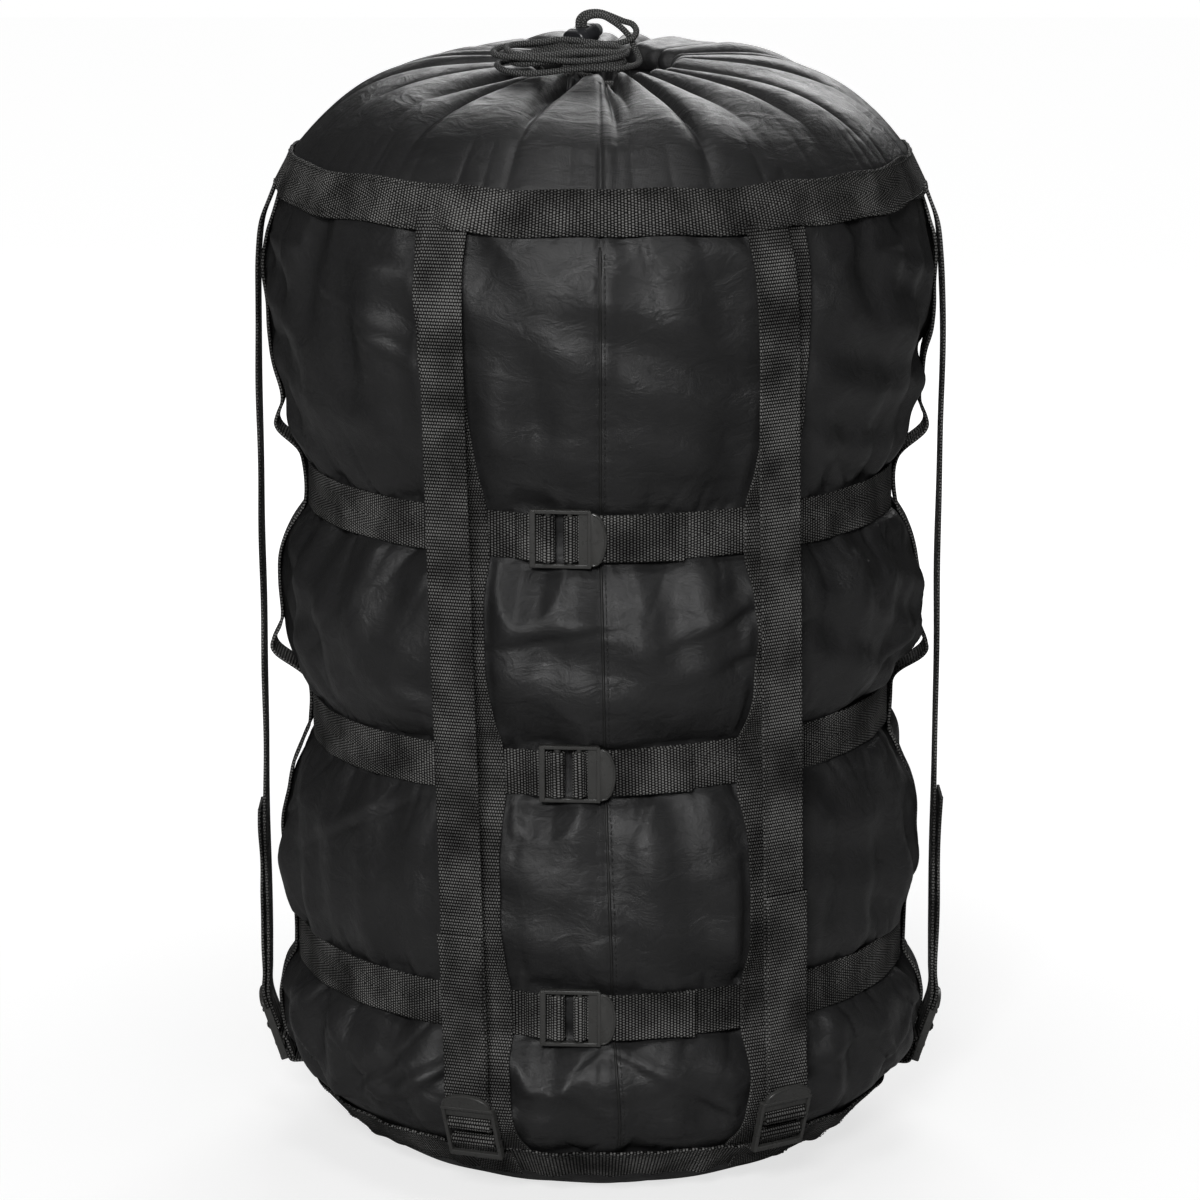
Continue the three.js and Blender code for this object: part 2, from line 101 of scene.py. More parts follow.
area_light("overhead", (0.0, -0.7, 2.3), (0, 0, 0.35), (0.7, 0.6), 7.5)
area_light("front", (-0.35, -2.9, 1.7), (0, 0, 0.3), (0.8, 0.5), 47)
area_light("front_left", (-1.9, -1.5, 1.5), (0, 0, 0.3), (0.3, 0.9), 1.8)
area_light("front_right", (2.0, -1.3, 1.2), (0, 0, 0.3), (0.3, 0.9), 1)
area_light("back", (0.3, 2.2, 1.6), (0, 0, 0.35), (1.6, 1.2), 26)

world = bpy.data.worlds.new("studio")
scene.world = world
world.use_nodes = True
fill = world.node_tree.nodes["Background"]
fill.inputs["Color"].default_value = (1, 1, 1, 1)
# the pale backdrop is seen by the camera, but doesn't light the sack
fill.inputs["Strength"].default_value = 0.025
backdrop = world.node_tree.nodes.new("ShaderNodeBackground")
backdrop.inputs["Strength"].default_value = 1.25
seen = world.node_tree.nodes.new("ShaderNodeLightPath")
either = world.node_tree.nodes.new("ShaderNodeMixShader")
for source, socket in zip((seen.outputs["Is Camera Ray"], fill.outputs[0], backdrop.outputs[0]), either.inputs):
    world.node_tree.links.new(source, socket)
world.node_tree.links.new(either.outputs[0], world.node_tree.nodes["World Output"].inputs["Surface"])


# ---------- node materials ----------
class Look:
    """A Principled material and short ways to add nodes to it."""

    def __init__(self, name, color, roughness, **settings):
        self.material = bpy.data.materials.new(name)
        self.material.use_nodes = True
        self.tree = self.material.node_tree
        self.shader = self.tree.nodes["Principled BSDF"]
        self.shader.inputs["Base Color"].default_value = (*color, 1)
        self.shader.inputs["Roughness"].default_value = roughness
        for key, value in settings.items():
            self.shader.inputs[key.replace("_", " ")].default_value = value
        self.bumps = None

    def plug(self, socket, value):
        if isinstance(value, bpy.types.NodeSocket):
            self.tree.links.new(value, socket)
        else:
            socket.default_value = value

    def math(self, operation, *values):
        node = self.tree.nodes.new("ShaderNodeMath")
        node.operation = operation
        for socket, value in zip(node.inputs, values):
            self.plug(socket, value)
        return node.outputs[0]

    def attribute(self, name, output="Fac"):
        node = self.tree.nodes.new("ShaderNodeAttribute")
        node.attribute_name = name
        return node.outputs[output]

    def stretched(self, vector, scale):
        node = self.tree.nodes.new("ShaderNodeVectorMath")
        node.operation = "MULTIPLY"
        self.plug(node.inputs[0], vector)
        node.inputs[1].default_value = scale
        return node.outputs[0]

    def noise(self, vector, scale, detail=3.0, roughness=0.5, distortion=0.0):
        node = self.tree.nodes.new("ShaderNodeTexNoise")
        self.plug(node.inputs["Vector"], vector)
        node.inputs["Scale"].default_value = scale
        node.inputs["Detail"].default_value = detail
        node.inputs["Roughness"].default_value = roughness
        node.inputs["Distortion"].default_value = distortion
        return node.outputs[0]

    def between(self, value, from_low, from_high, to_low, to_high):
        node = self.tree.nodes.new("ShaderNodeMapRange")
        for key, given in zip(("Value", "From Min", "From Max", "To Min", "To Max"),
                              (value, from_low, from_high, to_low, to_high)):
            self.plug(node.inputs[key], given)
        return node.outputs[0]

    def blend(self, factor, low, high):
        node = self.tree.nodes.new("ShaderNodeMix")
        node.data_type = "RGBA"
        self.plug(node.inputs[0], factor)
        node.inputs[6].default_value = (*low, 1)
        node.inputs[7].default_value = (*high, 1)
        return node.outputs[2]

    def bump(self, height, depth, strength=1.0):
        """height from 0 to 1 stands depth millimetres proud."""
        node = self.tree.nodes.new("ShaderNodeBump")
        node.inputs["Strength"].default_value = strength
        node.inputs["Distance"].default_value = depth * MM
        self.plug(node.inputs["Height"], height)
        if self.bumps is not None:
            self.plug(node.inputs["Normal"], self.bumps)
        self.bumps = node.outputs[0]
        self.plug(self.shader.inputs["Normal"], self.bumps)

    def set(self, name, value):
        self.plug(self.shader.inputs[name], value)


def nylon_look(name):
    look = Look(name, (0.008, 0.008, 0.0084), 0.36, Specular_IOR_Level=0.42)
    cloth = look.attribute("cloth", "Vector")
    patches = look.noise(cloth, 0.022, 4)
    look.set("Base Color", look.blend(patches, (0.015, 0.015, 0.0155), (0.036, 0.0358, 0.0362)))
    look.set("Roughness", look.between(look.noise(cloth, 0.11, 4), 0.3, 0.7, 0.33, 0.47))
    crinkle = look.noise(look.stretched(cloth, (0.6, 1.0, 1.0)), 0.085, 5, 0.55, 0.6)
    look.bump(crinkle, 1.3)
    look.bump(look.noise(cloth, 0.45, 3, 0.6), 0.10)
    threads = look.math("MULTIPLY", grain(look, look.attribute("cloth_u"), 0.55),
                        grain(look, look.attribute("cloth_v"), 0.55))
    look.bump(threads, 0.05)
    return look.material


def grain(look, value, pitch, shift=0.0):
    """Rounded threads side by side along one axis, from 0 in the gaps to 1 on top."""
    place = look.math("FRACT", look.math("ADD", look.math("DIVIDE", value, pitch), shift))
    off = look.math("SUBTRACT", look.math("MULTIPLY", place, 2.0), 1.0)
    left_over = look.math("SUBTRACT", 1.0, look.math("MULTIPLY", off, off))
    return look.math("SQRT", look.math("MAXIMUM", left_over, 0.0))


ROW = 1.75  # pitch of the webbing's rows
YARN = 1.5  # pitch of the yarns across it
BRAID = 1.3  # pitch of the drawstring's ribs
GAP_SHADE_COLOR = (0.0003, 0.0003, 0.0003)  # painted shade: the dark in the gaps between threads


def webbing_look(name, herringbone=False):
    look = Look(name, (0.02, 0.02, 0.019), 0.78, Specular_IOR_Level=0.07)
    along, across = look.attribute("along"), look.attribute("across")
    row = look.math("FLOOR", look.math("DIVIDE", along, ROW))
    if herringbone:
        band = look.math("FLOORED_MODULO", look.math("FLOOR", look.math("DIVIDE", across, 6.25)), 2.0)
        way = look.math("SUBTRACT", 1.0, look.math("MULTIPLY", band, 2.0))
        shift = look.math("MULTIPLY", look.math("MULTIPLY", row, 0.36), way)
    else:
        shift = look.math("MULTIPLY", look.math("FLOORED_MODULO", row, 2.0), 0.5)
    rows = grain(look, along, ROW)
    yarns = grain(look, across, YARN, shift)
    weave = look.math("MULTIPLY", rows, look.math("ADD", look.math("MULTIPLY", yarns, 0.9), 0.1))
    rest = look.attribute("rest", "Vector")
    fibres = look.noise(rest, 900.0, 2)
    dusty = look.noise(rest, 35.0, 3)
    # painted shade and highlight: the colour runs from near black in the gaps between the threads, a painted
    # shade, to pale grey on the yarns' tops, a painted highlight; dusty varies it at random
    tone = look.math("MULTIPLY", weave, look.between(dusty, 0.3, 0.7, 0.75, 1.15))
    look.set("Base Color", look.blend(look.math("POWER", tone, 3.6), GAP_SHADE_COLOR, (0.27, 0.267, 0.26)))
    look.set("Roughness", look.between(fibres, 0.2, 0.8, 0.62, 0.85))
    look.bump(weave, 0.7)
    look.bump(fibres, 0.12)
    return look.material


def plastic_look(name, color, roughness):
    look = Look(name, color, roughness, Specular_IOR_Level=0.5)
    rest = look.attribute("rest", "Vector")
    tone = look.noise(rest, 120.0, 4)
    look.set("Base Color", look.blend(tone, tuple(c * 0.8 for c in color), tuple(c * 1.25 for c in color)))
    look.set("Roughness", look.between(look.noise(rest, 260.0, 4), 0.3, 0.7, roughness - 0.07, roughness + 0.09))
    look.bump(look.noise(rest, 1500.0, 2), 0.05)
    look.bump(look.noise(look.stretched(rest, (1.0, 1.0, 6.0)), 160.0, 5), 0.05)
    return look.material


def cord_look(name):
    look = Look(name, (0.016, 0.016, 0.016), 0.6, Specular_IOR_Level=0.4)
    along, around = look.attribute("along"), look.attribute("across")
    rib = grain(look, look.math("ADD", look.math("DIVIDE", along, BRAID), around), 1.0)
    strands = look.math("SUBTRACT", look.math("MULTIPLY", around, 6.0), look.math("DIVIDE", along, 2 * BRAID))
    plait = grain(look, strands, 1.0)
    braid = look.math("MULTIPLY", rib, look.math("ADD", look.math("MULTIPLY", plait, 0.5), 0.5))
    # painted shade and highlight: near black between the braid's ribs, a painted shade, and pale grey on their
    # tops, a painted highlight
    look.set("Base Color", look.blend(look.math("POWER", braid, 4.0), GAP_SHADE_COLOR, (0.2, 0.2, 0.196)))
    look.bump(braid, 0.3)
    look.bump(look.noise(look.attribute("rest", "Vector"), 2500.0, 2), 0.08)
    return look.material


def thread_look(name):
    look = Look(name, (0.012, 0.012, 0.012), 0.55)
    rest = look.attribute("rest", "Vector")
    twist = look.noise(rest, 3000.0, 2)
    look.set("Base Color", look.blend(twist, (0.006, 0.006, 0.006), (0.026, 0.026, 0.025)))
    look.bump(twist, 0.06)
    return look.material


def steel_look(name):
    look = Look(name, (0.55, 0.55, 0.54), 0.3, Metallic=1.0)
    rest = look.attribute("rest", "Vector")
    drawn = look.noise(look.stretched(rest, (1.0, 1.0, 8.0)), 900.0, 3)
    look.set("Roughness", look.between(drawn, 0.3, 0.7, 0.22, 0.4))
    look.bump(drawn, 0.02)
    return look.material


def stuffing_look(name):
    look = Look(name, (0.3, 0.3, 0.28), 0.9, Sheen_Weight=0.2)
    rest = look.attribute("rest", "Vector")
    fibres = look.noise(rest, 140.0, 6, 0.7, 1.5)
    look.set("Base Color", look.blend(fibres, (0.02, 0.02, 0.02), (0.06, 0.06, 0.058)))
    look.bump(fibres, 2.0)
    return look.material


def floor_look(name):
    look = Look(name, (0.4, 0.4, 0.4), 0.8, Emission_Color=(1, 1, 1, 1))
    geometry = look.tree.nodes.new("ShaderNodeNewGeometry")
    away = look.tree.nodes.new("ShaderNodeVectorMath")
    away.operation = "LENGTH"
    look.tree.links.new(geometry.outputs["Position"], away.inputs[0])
    # painted shade: the floor's glow is weaker near the sack, so the floor darkens round it where its shadow
    # falls
    painted_glow = look.between(away.outputs["Value"], 0.25, 1.2, 0.72, 0.97)
    # the painted glow shows to the camera as a pale sweep, but doesn't light the sack from below
    seen = look.tree.nodes.new("ShaderNodeLightPath")
    look.set("Emission Strength", look.math("MULTIPLY", painted_glow, seen.outputs["Is Camera Ray"]))
    mottle = look.noise(geometry.outputs["Position"], 2.0, 2)
    look.set("Base Color", look.blend(mottle, (0.38, 0.38, 0.38), (0.42, 0.42, 0.42)))
    return look.material


NYLON = nylon_look("nylon")
WEBBING = webbing_look("webbing")
HERRINGBONE = webbing_look("herringbone_webbing", herringbone=True)
BUCKLE = plastic_look("buckle_plastic", (0.055, 0.0545, 0.052), 0.3)
LOCK_BODY = plastic_look("cord_lock_plastic", (0.03, 0.031, 0.034), 0.32)
LOCK_BUTTON = plastic_look("cord_lock_button_plastic", (0.16, 0.165, 0.165), 0.45)
CORD = cord_look("cord")
THREAD = thread_look("thread")
STEEL = steel_look("spring_steel")
STUFFING = stuffing_look("stuffing")


# ---------- meshes ----------
def grid_faces(rows, cols, flip=False):
    """The four-sided faces of a grid of points that closes on itself sideways."""
    at = np.arange(rows * cols).reshape(rows, cols)
    at = np.hstack([at, at[:, :1]])
    corners = [at[:-1, :-1], at[:-1, 1:], at[1:, 1:], at[1:, :-1]]
    if flip:
        corners.reverse()
    return np.stack(corners, -1).reshape(-1, 4)


def capped_faces(rows, cols, first=0, flip=False):
    """The same, numbered from first, with both ends closed."""
    last = (rows - 1) * cols
    ends = [range(cols - 1, -1, -1), range(last, last + cols)]
    faces = [*grid_faces(rows, cols, flip), *(end[::-1] if flip else end for end in ends)]
    return [tuple(int(k) + first for k in face) for face in faces]


def around(radius, turn, height):
    """Points at a radius, a turn from the front and a height."""
    return np.stack(np.broadcast_arrays(radius * np.sin(turn), -radius * np.cos(turn), height), -1)


def metres(point):
    return tuple(np.asarray(point, float) * MM)


def make_piece(name, verts, faces, material, attributes=None):
    """A mesh object from points in millimetres. attributes holds one number or one vector for each point."""
    verts = np.asarray(verts, float).reshape(-1, 3) * MM
    mesh = bpy.data.meshes.new(name)
    mesh.from_pydata(verts.tolist(), [], [list(map(int, f)) for f in faces])
    for key, values in {"rest": verts, **(attributes or {})}.items():
        values = np.asarray(values, np.float32)
        kind, field = ("FLOAT_VECTOR", "vector") if values.ndim > 1 else ("FLOAT", "value")
        mesh.attributes.new(key, kind, "POINT").data.foreach_set(field, values.ravel())
    mesh.materials.append(material)
    mesh.polygons.foreach_set("use_smooth", [True] * len(mesh.polygons))
    mesh.update()
    piece = bpy.data.objects.new(name, mesh)
    scene.collection.objects.link(piece)
    return piece


def settle(piece, body=None, replaces=(), between=None):
    """Rides a piece on its body, or leaves it on its own with its transform baked in, and hides the CAD parts
    that it replaces.
    """
    if between:
        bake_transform(piece)
    else:
        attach(piece, body)
    if replaces:
        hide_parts(*replaces)
    return piece


def unit(v):
    return v / np.maximum(np.linalg.norm(v, axis=-1, keepdims=True), 1e-9)


def spline(points, step):
    """Points every step along a centripetal Catmull-Rom curve through the given ones."""
    p = np.asarray(points, float)
    p = np.vstack([2 * p[0] - p[1], p, 2 * p[-1] - p[-2]])
    fine = []
    for a, b, c, d in zip(p[:-3], p[1:-2], p[2:-1], p[3:]):
        gaps = [max(np.linalg.norm(y - x), 1e-6) ** 0.5 for x, y in ((a, b), (b, c), (c, d))]
        t0, t1 = 0.0, gaps[0]
        t2 = t1 + gaps[1]
        t3 = t2 + gaps[2]
        t = np.linspace(t1, t2, 12, endpoint=False)[:, None]
        ab = (t1 - t) / (t1 - t0) * a + (t - t0) / (t1 - t0) * b
        bc = (t2 - t) / (t2 - t1) * b + (t - t1) / (t2 - t1) * c
        cd = (t3 - t) / (t3 - t2) * c + (t - t2) / (t3 - t2) * d
        abc = (t2 - t) / (t2 - t0) * ab + (t - t0) / (t2 - t0) * bc
        bcd = (t3 - t) / (t3 - t1) * bc + (t - t1) / (t3 - t1) * cd
        fine.append((t2 - t) / (t2 - t1) * abc + (t - t1) / (t2 - t1) * bcd)
    fine = np.vstack([*fine, p[-2]])
    return evenly(fine, step)


def distances(points):
    return np.concatenate([[0.0], np.cumsum(np.linalg.norm(np.diff(points, axis=0), axis=1))])


def evenly(points, step):
    d = distances(points)
    count = max(2, int(round(d[-1] / step)) + 1)
    at = np.linspace(0, d[-1], count)
    return np.stack([np.interp(at, d, points[:, k]) for k in range(points.shape[1])], -1)


def bell(x, width, power=2):
    """1 in the middle, falling away on both sides; a higher power gives a flatter top."""
    return np.exp(-((x / width) ** power))


def crease(x, width):
    """1 in the middle, falling away on both sides from a sharp edge."""
    return np.exp(-abs(x) / width)


def smoothed(values, passes):
    """Each value averaged with its neighbours, ends kept."""
    v = np.array(values, float)
    for _ in range(passes):
        v[1:-1] = (v[:-2] + 2 * v[1:-1] + v[2:]) / 4
    return v


def line_place(points, turn, lean):
    """Points as (radius, across, height) at a vertical line of the sack."""
    p = np.array(points, float) - (0, 0, HALF_HEIGHT)
    a, b = math.radians(lean), math.radians(turn - 90)
    x, y, z = p[..., 0], p[..., 1], p[..., 2]
    y, z = y * math.cos(a) - z * math.sin(a), y * math.sin(a) + z * math.cos(a)
    x, y = x * math.cos(b) - y * math.sin(b), x * math.sin(b) + y * math.cos(b)
    return np.stack([x, y, z + HALF_HEIGHT], -1)


def turned(directions, turn, lean):
    """Directions in a vertical line's own axes, turned into the sack's."""
    return line_place(directions, turn, lean) - line_place(np.zeros(3), turn, lean)


def flared_end(line, share, reach):
    """How webbing widens a little towards the end of its line."""
    total = distances(line)[-1]

    def spread(d):
        return 1 + share * bell(d - total, reach)

    return spread


def section(width, thick):
    """Webbing cut across: points round it as (across, normal), with a raised selvage at each edge."""
    half, h = width / 2, thick / 2
    xs = np.array([-half, -half + 0.22, -half + 0.8, -half + 1.5, -half + 2.4, -half * 0.62, -half * 0.3, 0.0])
    ns = np.array([0.0, 0.85, 1.22, 1.12, 0.9, 0.96, 1.0, 1.0]) * h
    top = np.concatenate([xs, -xs[-2::-1]]), np.concatenate([ns, ns[-2::-1]])
    return np.concatenate([top[0], top[0][-2:0:-1]]), np.concatenate([top[1], -top[1][-2:0:-1]])


def ribbon(name, centre, across, normal, material, wave, shape=None):
    """Webbing along a line of points, with unit vectors across it and out of it at each."""
    x, n = section(WEB_W, WEB_T)
    d = distances(centre)
    lift = wave(d[:, None], x[None, :])
    spread = np.ones(len(centre)) if shape is None else shape(d)
    loops = (centre[:, None] + across[:, None] * (x[None, :] * spread[:, None])[..., None]
             + normal[:, None] * (n[None, :] + lift)[..., None])
    attributes = {"along": np.repeat(d, len(x)), "across": np.tile(x, len(centre))}
    return make_piece(name, loops, capped_faces(len(centre), len(x), flip=True), material, attributes)


def line_ribbon(name, line, turn, lean, material, wave=None, conform=0.0, step=1.6, shape=None):
    """Webbing along a vertical line of the sack, through (radius, height) points from the base up."""
    pts = evenly(np.asarray(line, float), step)
    centre = np.stack([pts[:, 0], 0 * pts[:, 0], pts[:, 1]], -1)
    along = unit(np.gradient(centre, axis=0))
    normal = unit(np.stack([along[:, 2], np.zeros(len(pts)), -along[:, 0]], -1))
    across = unit(np.cross(normal, along))

    def bent(d, w):
        drop = -conform * w * w / (2 * CLOTH_R)
        return drop + (wave(d, w) if wave else 0.0)

    return ribbon(name, line_place(centre, turn, lean), turned(across, turn, lean), turned(normal, turn, lean),
                  material, bent, shape)


def ripple(pitch, height, seed, edge=0.0):
    """A soft random waviness along webbing; edge lets its two edges wave apart."""
    draw = np.random.default_rng(seed)
    waves = [(2 * math.pi / (pitch * draw.uniform(0.6, 1.7)), draw.uniform(0, 6.28), draw.uniform(0.4, 1.0),
              draw.uniform(-1, 1)) for _ in range(7)]

    def at(d, w):
        total = sum(a * (1 + edge * tilt * w / 12.5) * np.sin(k * d + phase) for k, phase, a, tilt in waves)
        return height * total / 2.2

    return at


# ---------- the drawstring: from the hem, through the lock, over a loop, round the hank and back ----------
LOCK_CENTRE = np.array([-9.5, -16.0, 623.8])
BARREL_DIR = unit(np.array([-0.55, -0.81, -0.2]))
CORD_DIR = unit(UP - BARREL_DIR * BARREL_DIR[2])
STRAND_DIR = np.cross(BARREL_DIR, CORD_DIR)
STRAND_OFF = 1.85  # each strand's distance from the lock's axis
HANK_CENTRE = np.array([-21.0, -46.0, 616.2])
HANK_TILT = math.radians(10)
HANK_STRAIGHT = 26.2
HANK_TURNS = 4
HANK_PITCH = 3.05


def on_strand(side, d):
    return LOCK_CENTRE + STRAND_DIR * side * STRAND_OFF + CORD_DIR * d


LEAD = [(-4.1, -44.8, 604.5), (-7.5, -43.6, 604.5), (-10.2, -39.6, 604.6), (-10.4, -33.5, 605.2),
        (-9.4, -26, 606.4), (-8.4, -20, 609.6), on_strand(-1, -6.5), on_strand(-1, 0), on_strand(-1, 6.5),
        (-8.3, -19.0, 632.3), (-5.8, -19.6, 634.2), (-2.2, -20.6, 635.0), (2.2, -21.9, 634.6), (6, -23.6, 632.7),
        (11.5, -26, 629), (16, -27.8, 624.2), (19.2, -28.8, 619)]
RETURN = [(-21.9, -39.2, 604.5), (-18.4, -39.6, 604.5), (-16.1, -36.6, 604.6), (-15.6, -31, 605.2),
          (-14.2, -24, 606.4), (-12.2, -17, 609.6), on_strand(1, -6.5), on_strand(1, 0), on_strand(1, 6.5),
          (-11.3, -16, 632.6), (-8.8, -15.9, 635.1), (-5, -16.3, 636.3), (0, -17.1, 636.3), (4.5, -18.4, 635),
          (11, -20.5, 632.2), (17.5, -23, 626.8), (23.2, -25.5, 620.2)]


def hank_points():
    """Turns of a long oval, wound clockwise from its back right corner, stacked upwards and a little untidy."""
    straight = 2 * HANK_STRAIGHT
    points = []
    for turn in np.arange(0.0, HANK_TURNS - 0.14, 1 / 30):
        lap_no = int(turn)
        fold = (11.9, 10.3, 11.9, 10.5)[lap_no]  # each turn's own width, so that the strands nest
        reach = (-1.0, -7.5, 1.2, -4.5)[lap_no]  # and its own left end
        around = math.pi * fold
        s = (turn - lap_no) * 2 * (straight + around)
        if s < around:
            a = math.pi / 2 - s / fold
            x, y = HANK_STRAIGHT + fold * math.cos(a), fold * math.sin(a)
        elif s < around + straight:
            x, y = HANK_STRAIGHT - (s - around), -fold
        elif s < 2 * around + straight:
            a = -math.pi / 2 - (s - around - straight) / fold
            x, y = -HANK_STRAIGHT + fold * math.cos(a), fold * math.sin(a)
        else:
            x, y = -HANK_STRAIGHT + (s - 2 * around - straight), fold
        left = np.clip(-x / HANK_STRAIGHT, 0, 1)
        x -= reach * left
        lift = HANK_PITCH * (turn - (HANK_TURNS - 0.14) / 2)
        lift += 0.5 * math.sin(5.1 * turn + 1.3) + 1.3 * math.sin(0.1 * x + 2.1 * lap_no) - 1.3 * left
        y += 0.8 * math.sin(0.11 * x + 1.9 * lap_no)
        points.append((x, y, lift))
    p = np.array(points)
    p[2:-2] = (p[:-4] + p[1:-3] + p[2:-2] + p[3:-1] + p[4:]) / 5
    c, s = math.cos(HANK_TILT), math.sin(HANK_TILT)
    y, z = p[:, 1] * c - p[:, 2] * s, p[:, 1] * s + p[:, 2] * c
    return np.stack([p[:, 0], y, z], -1) + HANK_CENTRE


def tube(name, path, radius, material, sides=14, relief=None):
    """A round cord along a path, with the numbers that its braid is drawn from."""
    along = unit(np.gradient(path, axis=0))
    side = unit(np.cross(along[0], (0.3, 0.2, 1.0)))
    sides_at = []
    for t in along:
        side = unit(side - t * np.dot(side, t))
        sides_at.append(side)
    side = np.array(sides_at)
    other = np.cross(along, side)
    a = np.linspace(0, 2 * math.pi, sides, endpoint=False)
    d = distances(path)
    r = radius if relief is None else relief(d[:, None], a[None, :])
    spokes = side[:, None] * np.cos(a)[None, :, None] + other[:, None] * np.sin(a)[None, :, None]
    loops = path[:, None] + spokes * np.broadcast_to(r, (len(path), sides))[..., None]
    attributes = {"along": np.repeat(d, sides), "across": np.tile(a / (2 * math.pi), len(path))}
    return make_piece(name, loops, capped_faces(len(path), sides), material, attributes)


def braided(d, a):
    return CORD_R * (0.9 + 0.13 * np.abs(np.sin(math.pi * d / BRAID + a / 2)))


hank = hank_points()
drawstring_route = np.vstack([
    LEAD[:-1], [(19.4, -29.8, 617.0), (21.2, -35.0, 611.6)], hank[5:],
    [(6.0, -33.2, 620.9), (12.5, -31.7, 621.8), (17.6, -29.6, 623.6), (19.7, -26, 627.0), (17.6, -22.3, 630.4),
     (12.5, -20.6, 632.0)], RETURN[-4::-1]])
drawstring_path = spline(drawstring_route, 0.32)
drawstring = tube("drawstring", drawstring_path, CORD_R, CORD, sides=24, relief=braided)
settle(drawstring, "top", ("drawstring_lead", "drawstring_return", "drawstring_hank"))


# ---------- the shell: a tube of fabric, cinched at three waists ----------
WAISTS = [[(r, z - WEB_W / 2 - 0.5), (r, z + WEB_W / 2 + 0.5)] for r, z, _ in GIRTHS.values()]


def bulge(low, high, widest, power, steps):
    """(radius, height) points that swell out between two stations."""
    (r0, z0), (r1, z1) = low, high
    swell = widest - (r0 + r1) / 2
    return [(r0 + (r1 - r0) * t + swell * (1 - abs(2 * t - 1) ** power), z0 + (z1 - z0) * t) for t in steps]


def body_profile():
    stations = [list(BASE_RING), *WAISTS, list(TOP_RING)]
    points = stations[0][:]
    for widest, below, above in zip(BULGE_R, stations, stations[1:]):
        points += bulge(below[1], above[0], widest - 1.5, 2.8, np.linspace(0, 1, 25)[1:-1])
        points += above
    return np.array(points)


PROFILE = body_profile()
PROFILE_S = distances(PROFILE)
SEWN_LOW, SEWN_HIGH = 34, 539  # the fabric is held below and above these heights, and under each girth strap


def in_waist(z, margin=0.0):
    return np.any([abs(z - gz) < WEB_W / 2 + margin for _, gz, _ in GIRTHS.values()], axis=0)


def simulated_offsets(rows, cols):
    """How far pressure and slack push the fabric out, in millimetres, on a grid of rows up and cols round."""
    s = np.linspace(0, PROFILE_S[-1], rows)
    r, z = (np.interp(s, PROFILE_S, PROFILE[:, k]) for k in (0, 1))
    turn = np.linspace(0, 2 * math.pi, cols, endpoint=False)
    slack = np.zeros((rows, cols))
    for _ in range(110):
        slack += np.sin(rng.integers(3, 34) * turn[None, :] + rng.uniform(0, 6.28)
                        + rng.uniform(-0.06, 0.06) * s[:, None])
    pinned = (z < SEWN_LOW) | (z > SEWN_HIGH) | in_waist(z)
    start = r[:, None] + 0.28 * slack * ~pinned[:, None]
    grid = around(start, turn, z[:, None]) * MM
    mesh = bpy.data.meshes.new("fabric_sim")
    mesh.from_pydata(grid.reshape(-1, 3).tolist(), [], grid_faces(rows, cols).tolist())
    cloth = bpy.data.objects.new("fabric_sim", mesh)
    scene.collection.objects.link(cloth)
    cloth.shape_key_add(name="Basis")
    uncut = np.where((z > SEWN_HIGH) | (z < SEWN_LOW), r, 181.5)[:, None]
    flat = around(uncut, turn, (s * 1.03)[:, None]) * MM
    rest = cloth.shape_key_add(name="uncut")
    rest.data.foreach_set("co", flat.astype(np.float32).ravel())
    rest.value = 0
    held = cloth.vertex_groups.new(name="held")
    held.add(np.arange(rows * cols).reshape(rows, cols)[pinned].ravel().tolist(), 1.0, "REPLACE")
    modifier = cloth.modifiers.new("cloth", "CLOTH")
    settings = modifier.settings
    settings.quality, settings.mass, settings.air_damping = 6, 0.15, 1
    settings.tension_stiffness = settings.compression_stiffness = 25
    settings.shear_stiffness, settings.bending_stiffness = 8, 3
    settings.tension_damping = settings.compression_damping = settings.shear_damping = 2
    settings.use_pressure, settings.uniform_pressure_force = True, 8
    settings.vertex_group_mass, settings.rest_shape_key = "held", rest
    settings.effector_weights.gravity = 0
    modifier.collision_settings.use_collision = False
    modifier.point_cache.frame_start, modifier.point_cache.frame_end = 1, 26
    for f in range(1, 27):
        scene.frame_set(f)
    shaped = cloth.evaluated_get(bpy.context.evaluated_depsgraph_get()).to_mesh()
    co = np.zeros(len(shaped.vertices) * 3, np.float32)
    shaped.vertices.foreach_get("co", co)
    co = co.reshape(rows, cols, 3) / MM
    bpy.data.objects.remove(cloth)
    scene.frame_set(1)
    return np.clip(np.hypot(co[..., 0], co[..., 1]) - r[:, None], -7, 6)


def resampled(values, rows, cols):
    """A smooth finer grid from a coarse one that wraps round its columns."""
    def weights(t):
        return np.stack([-0.5 * t + t**2 - 0.5 * t**3, 1 - 2.5 * t**2 + 1.5 * t**3,
                         0.5 * t + 2 * t**2 - 1.5 * t**3, -0.5 * t**2 + 0.5 * t**3])
    r0, c0 = values.shape
    at = np.linspace(0, r0 - 1, rows)
    i = np.minimum(at.astype(int), r0 - 2)
    w = weights(at - i)
    v = sum(w[k][:, None] * values[np.clip(i + k - 1, 0, r0 - 1)] for k in range(4))
    at = np.arange(cols) * c0 / cols
    j = at.astype(int)
    w = weights(at - j)
    return sum(w[k][None, :] * v[:, (j + k - 1) % c0] for k in range(4))


SHELL_ROWS, SHELL_COLS = 270, 540
SHELL_S = np.linspace(0, PROFILE_S[-1], SHELL_ROWS)
SHELL_R0, SHELL_Z = (np.interp(SHELL_S, PROFILE_S, PROFILE[:, k]) for k in (0, 1))
SHELL_TURN = np.linspace(0, 2 * math.pi, SHELL_COLS, endpoint=False)


def tilt_of_waist(x, z):
    """The middle girth lies a little askew: its right side is higher."""
    return 5.0 * (x / CLOTH_R) * bell(z - GIRTHS["middle"][1], 60)


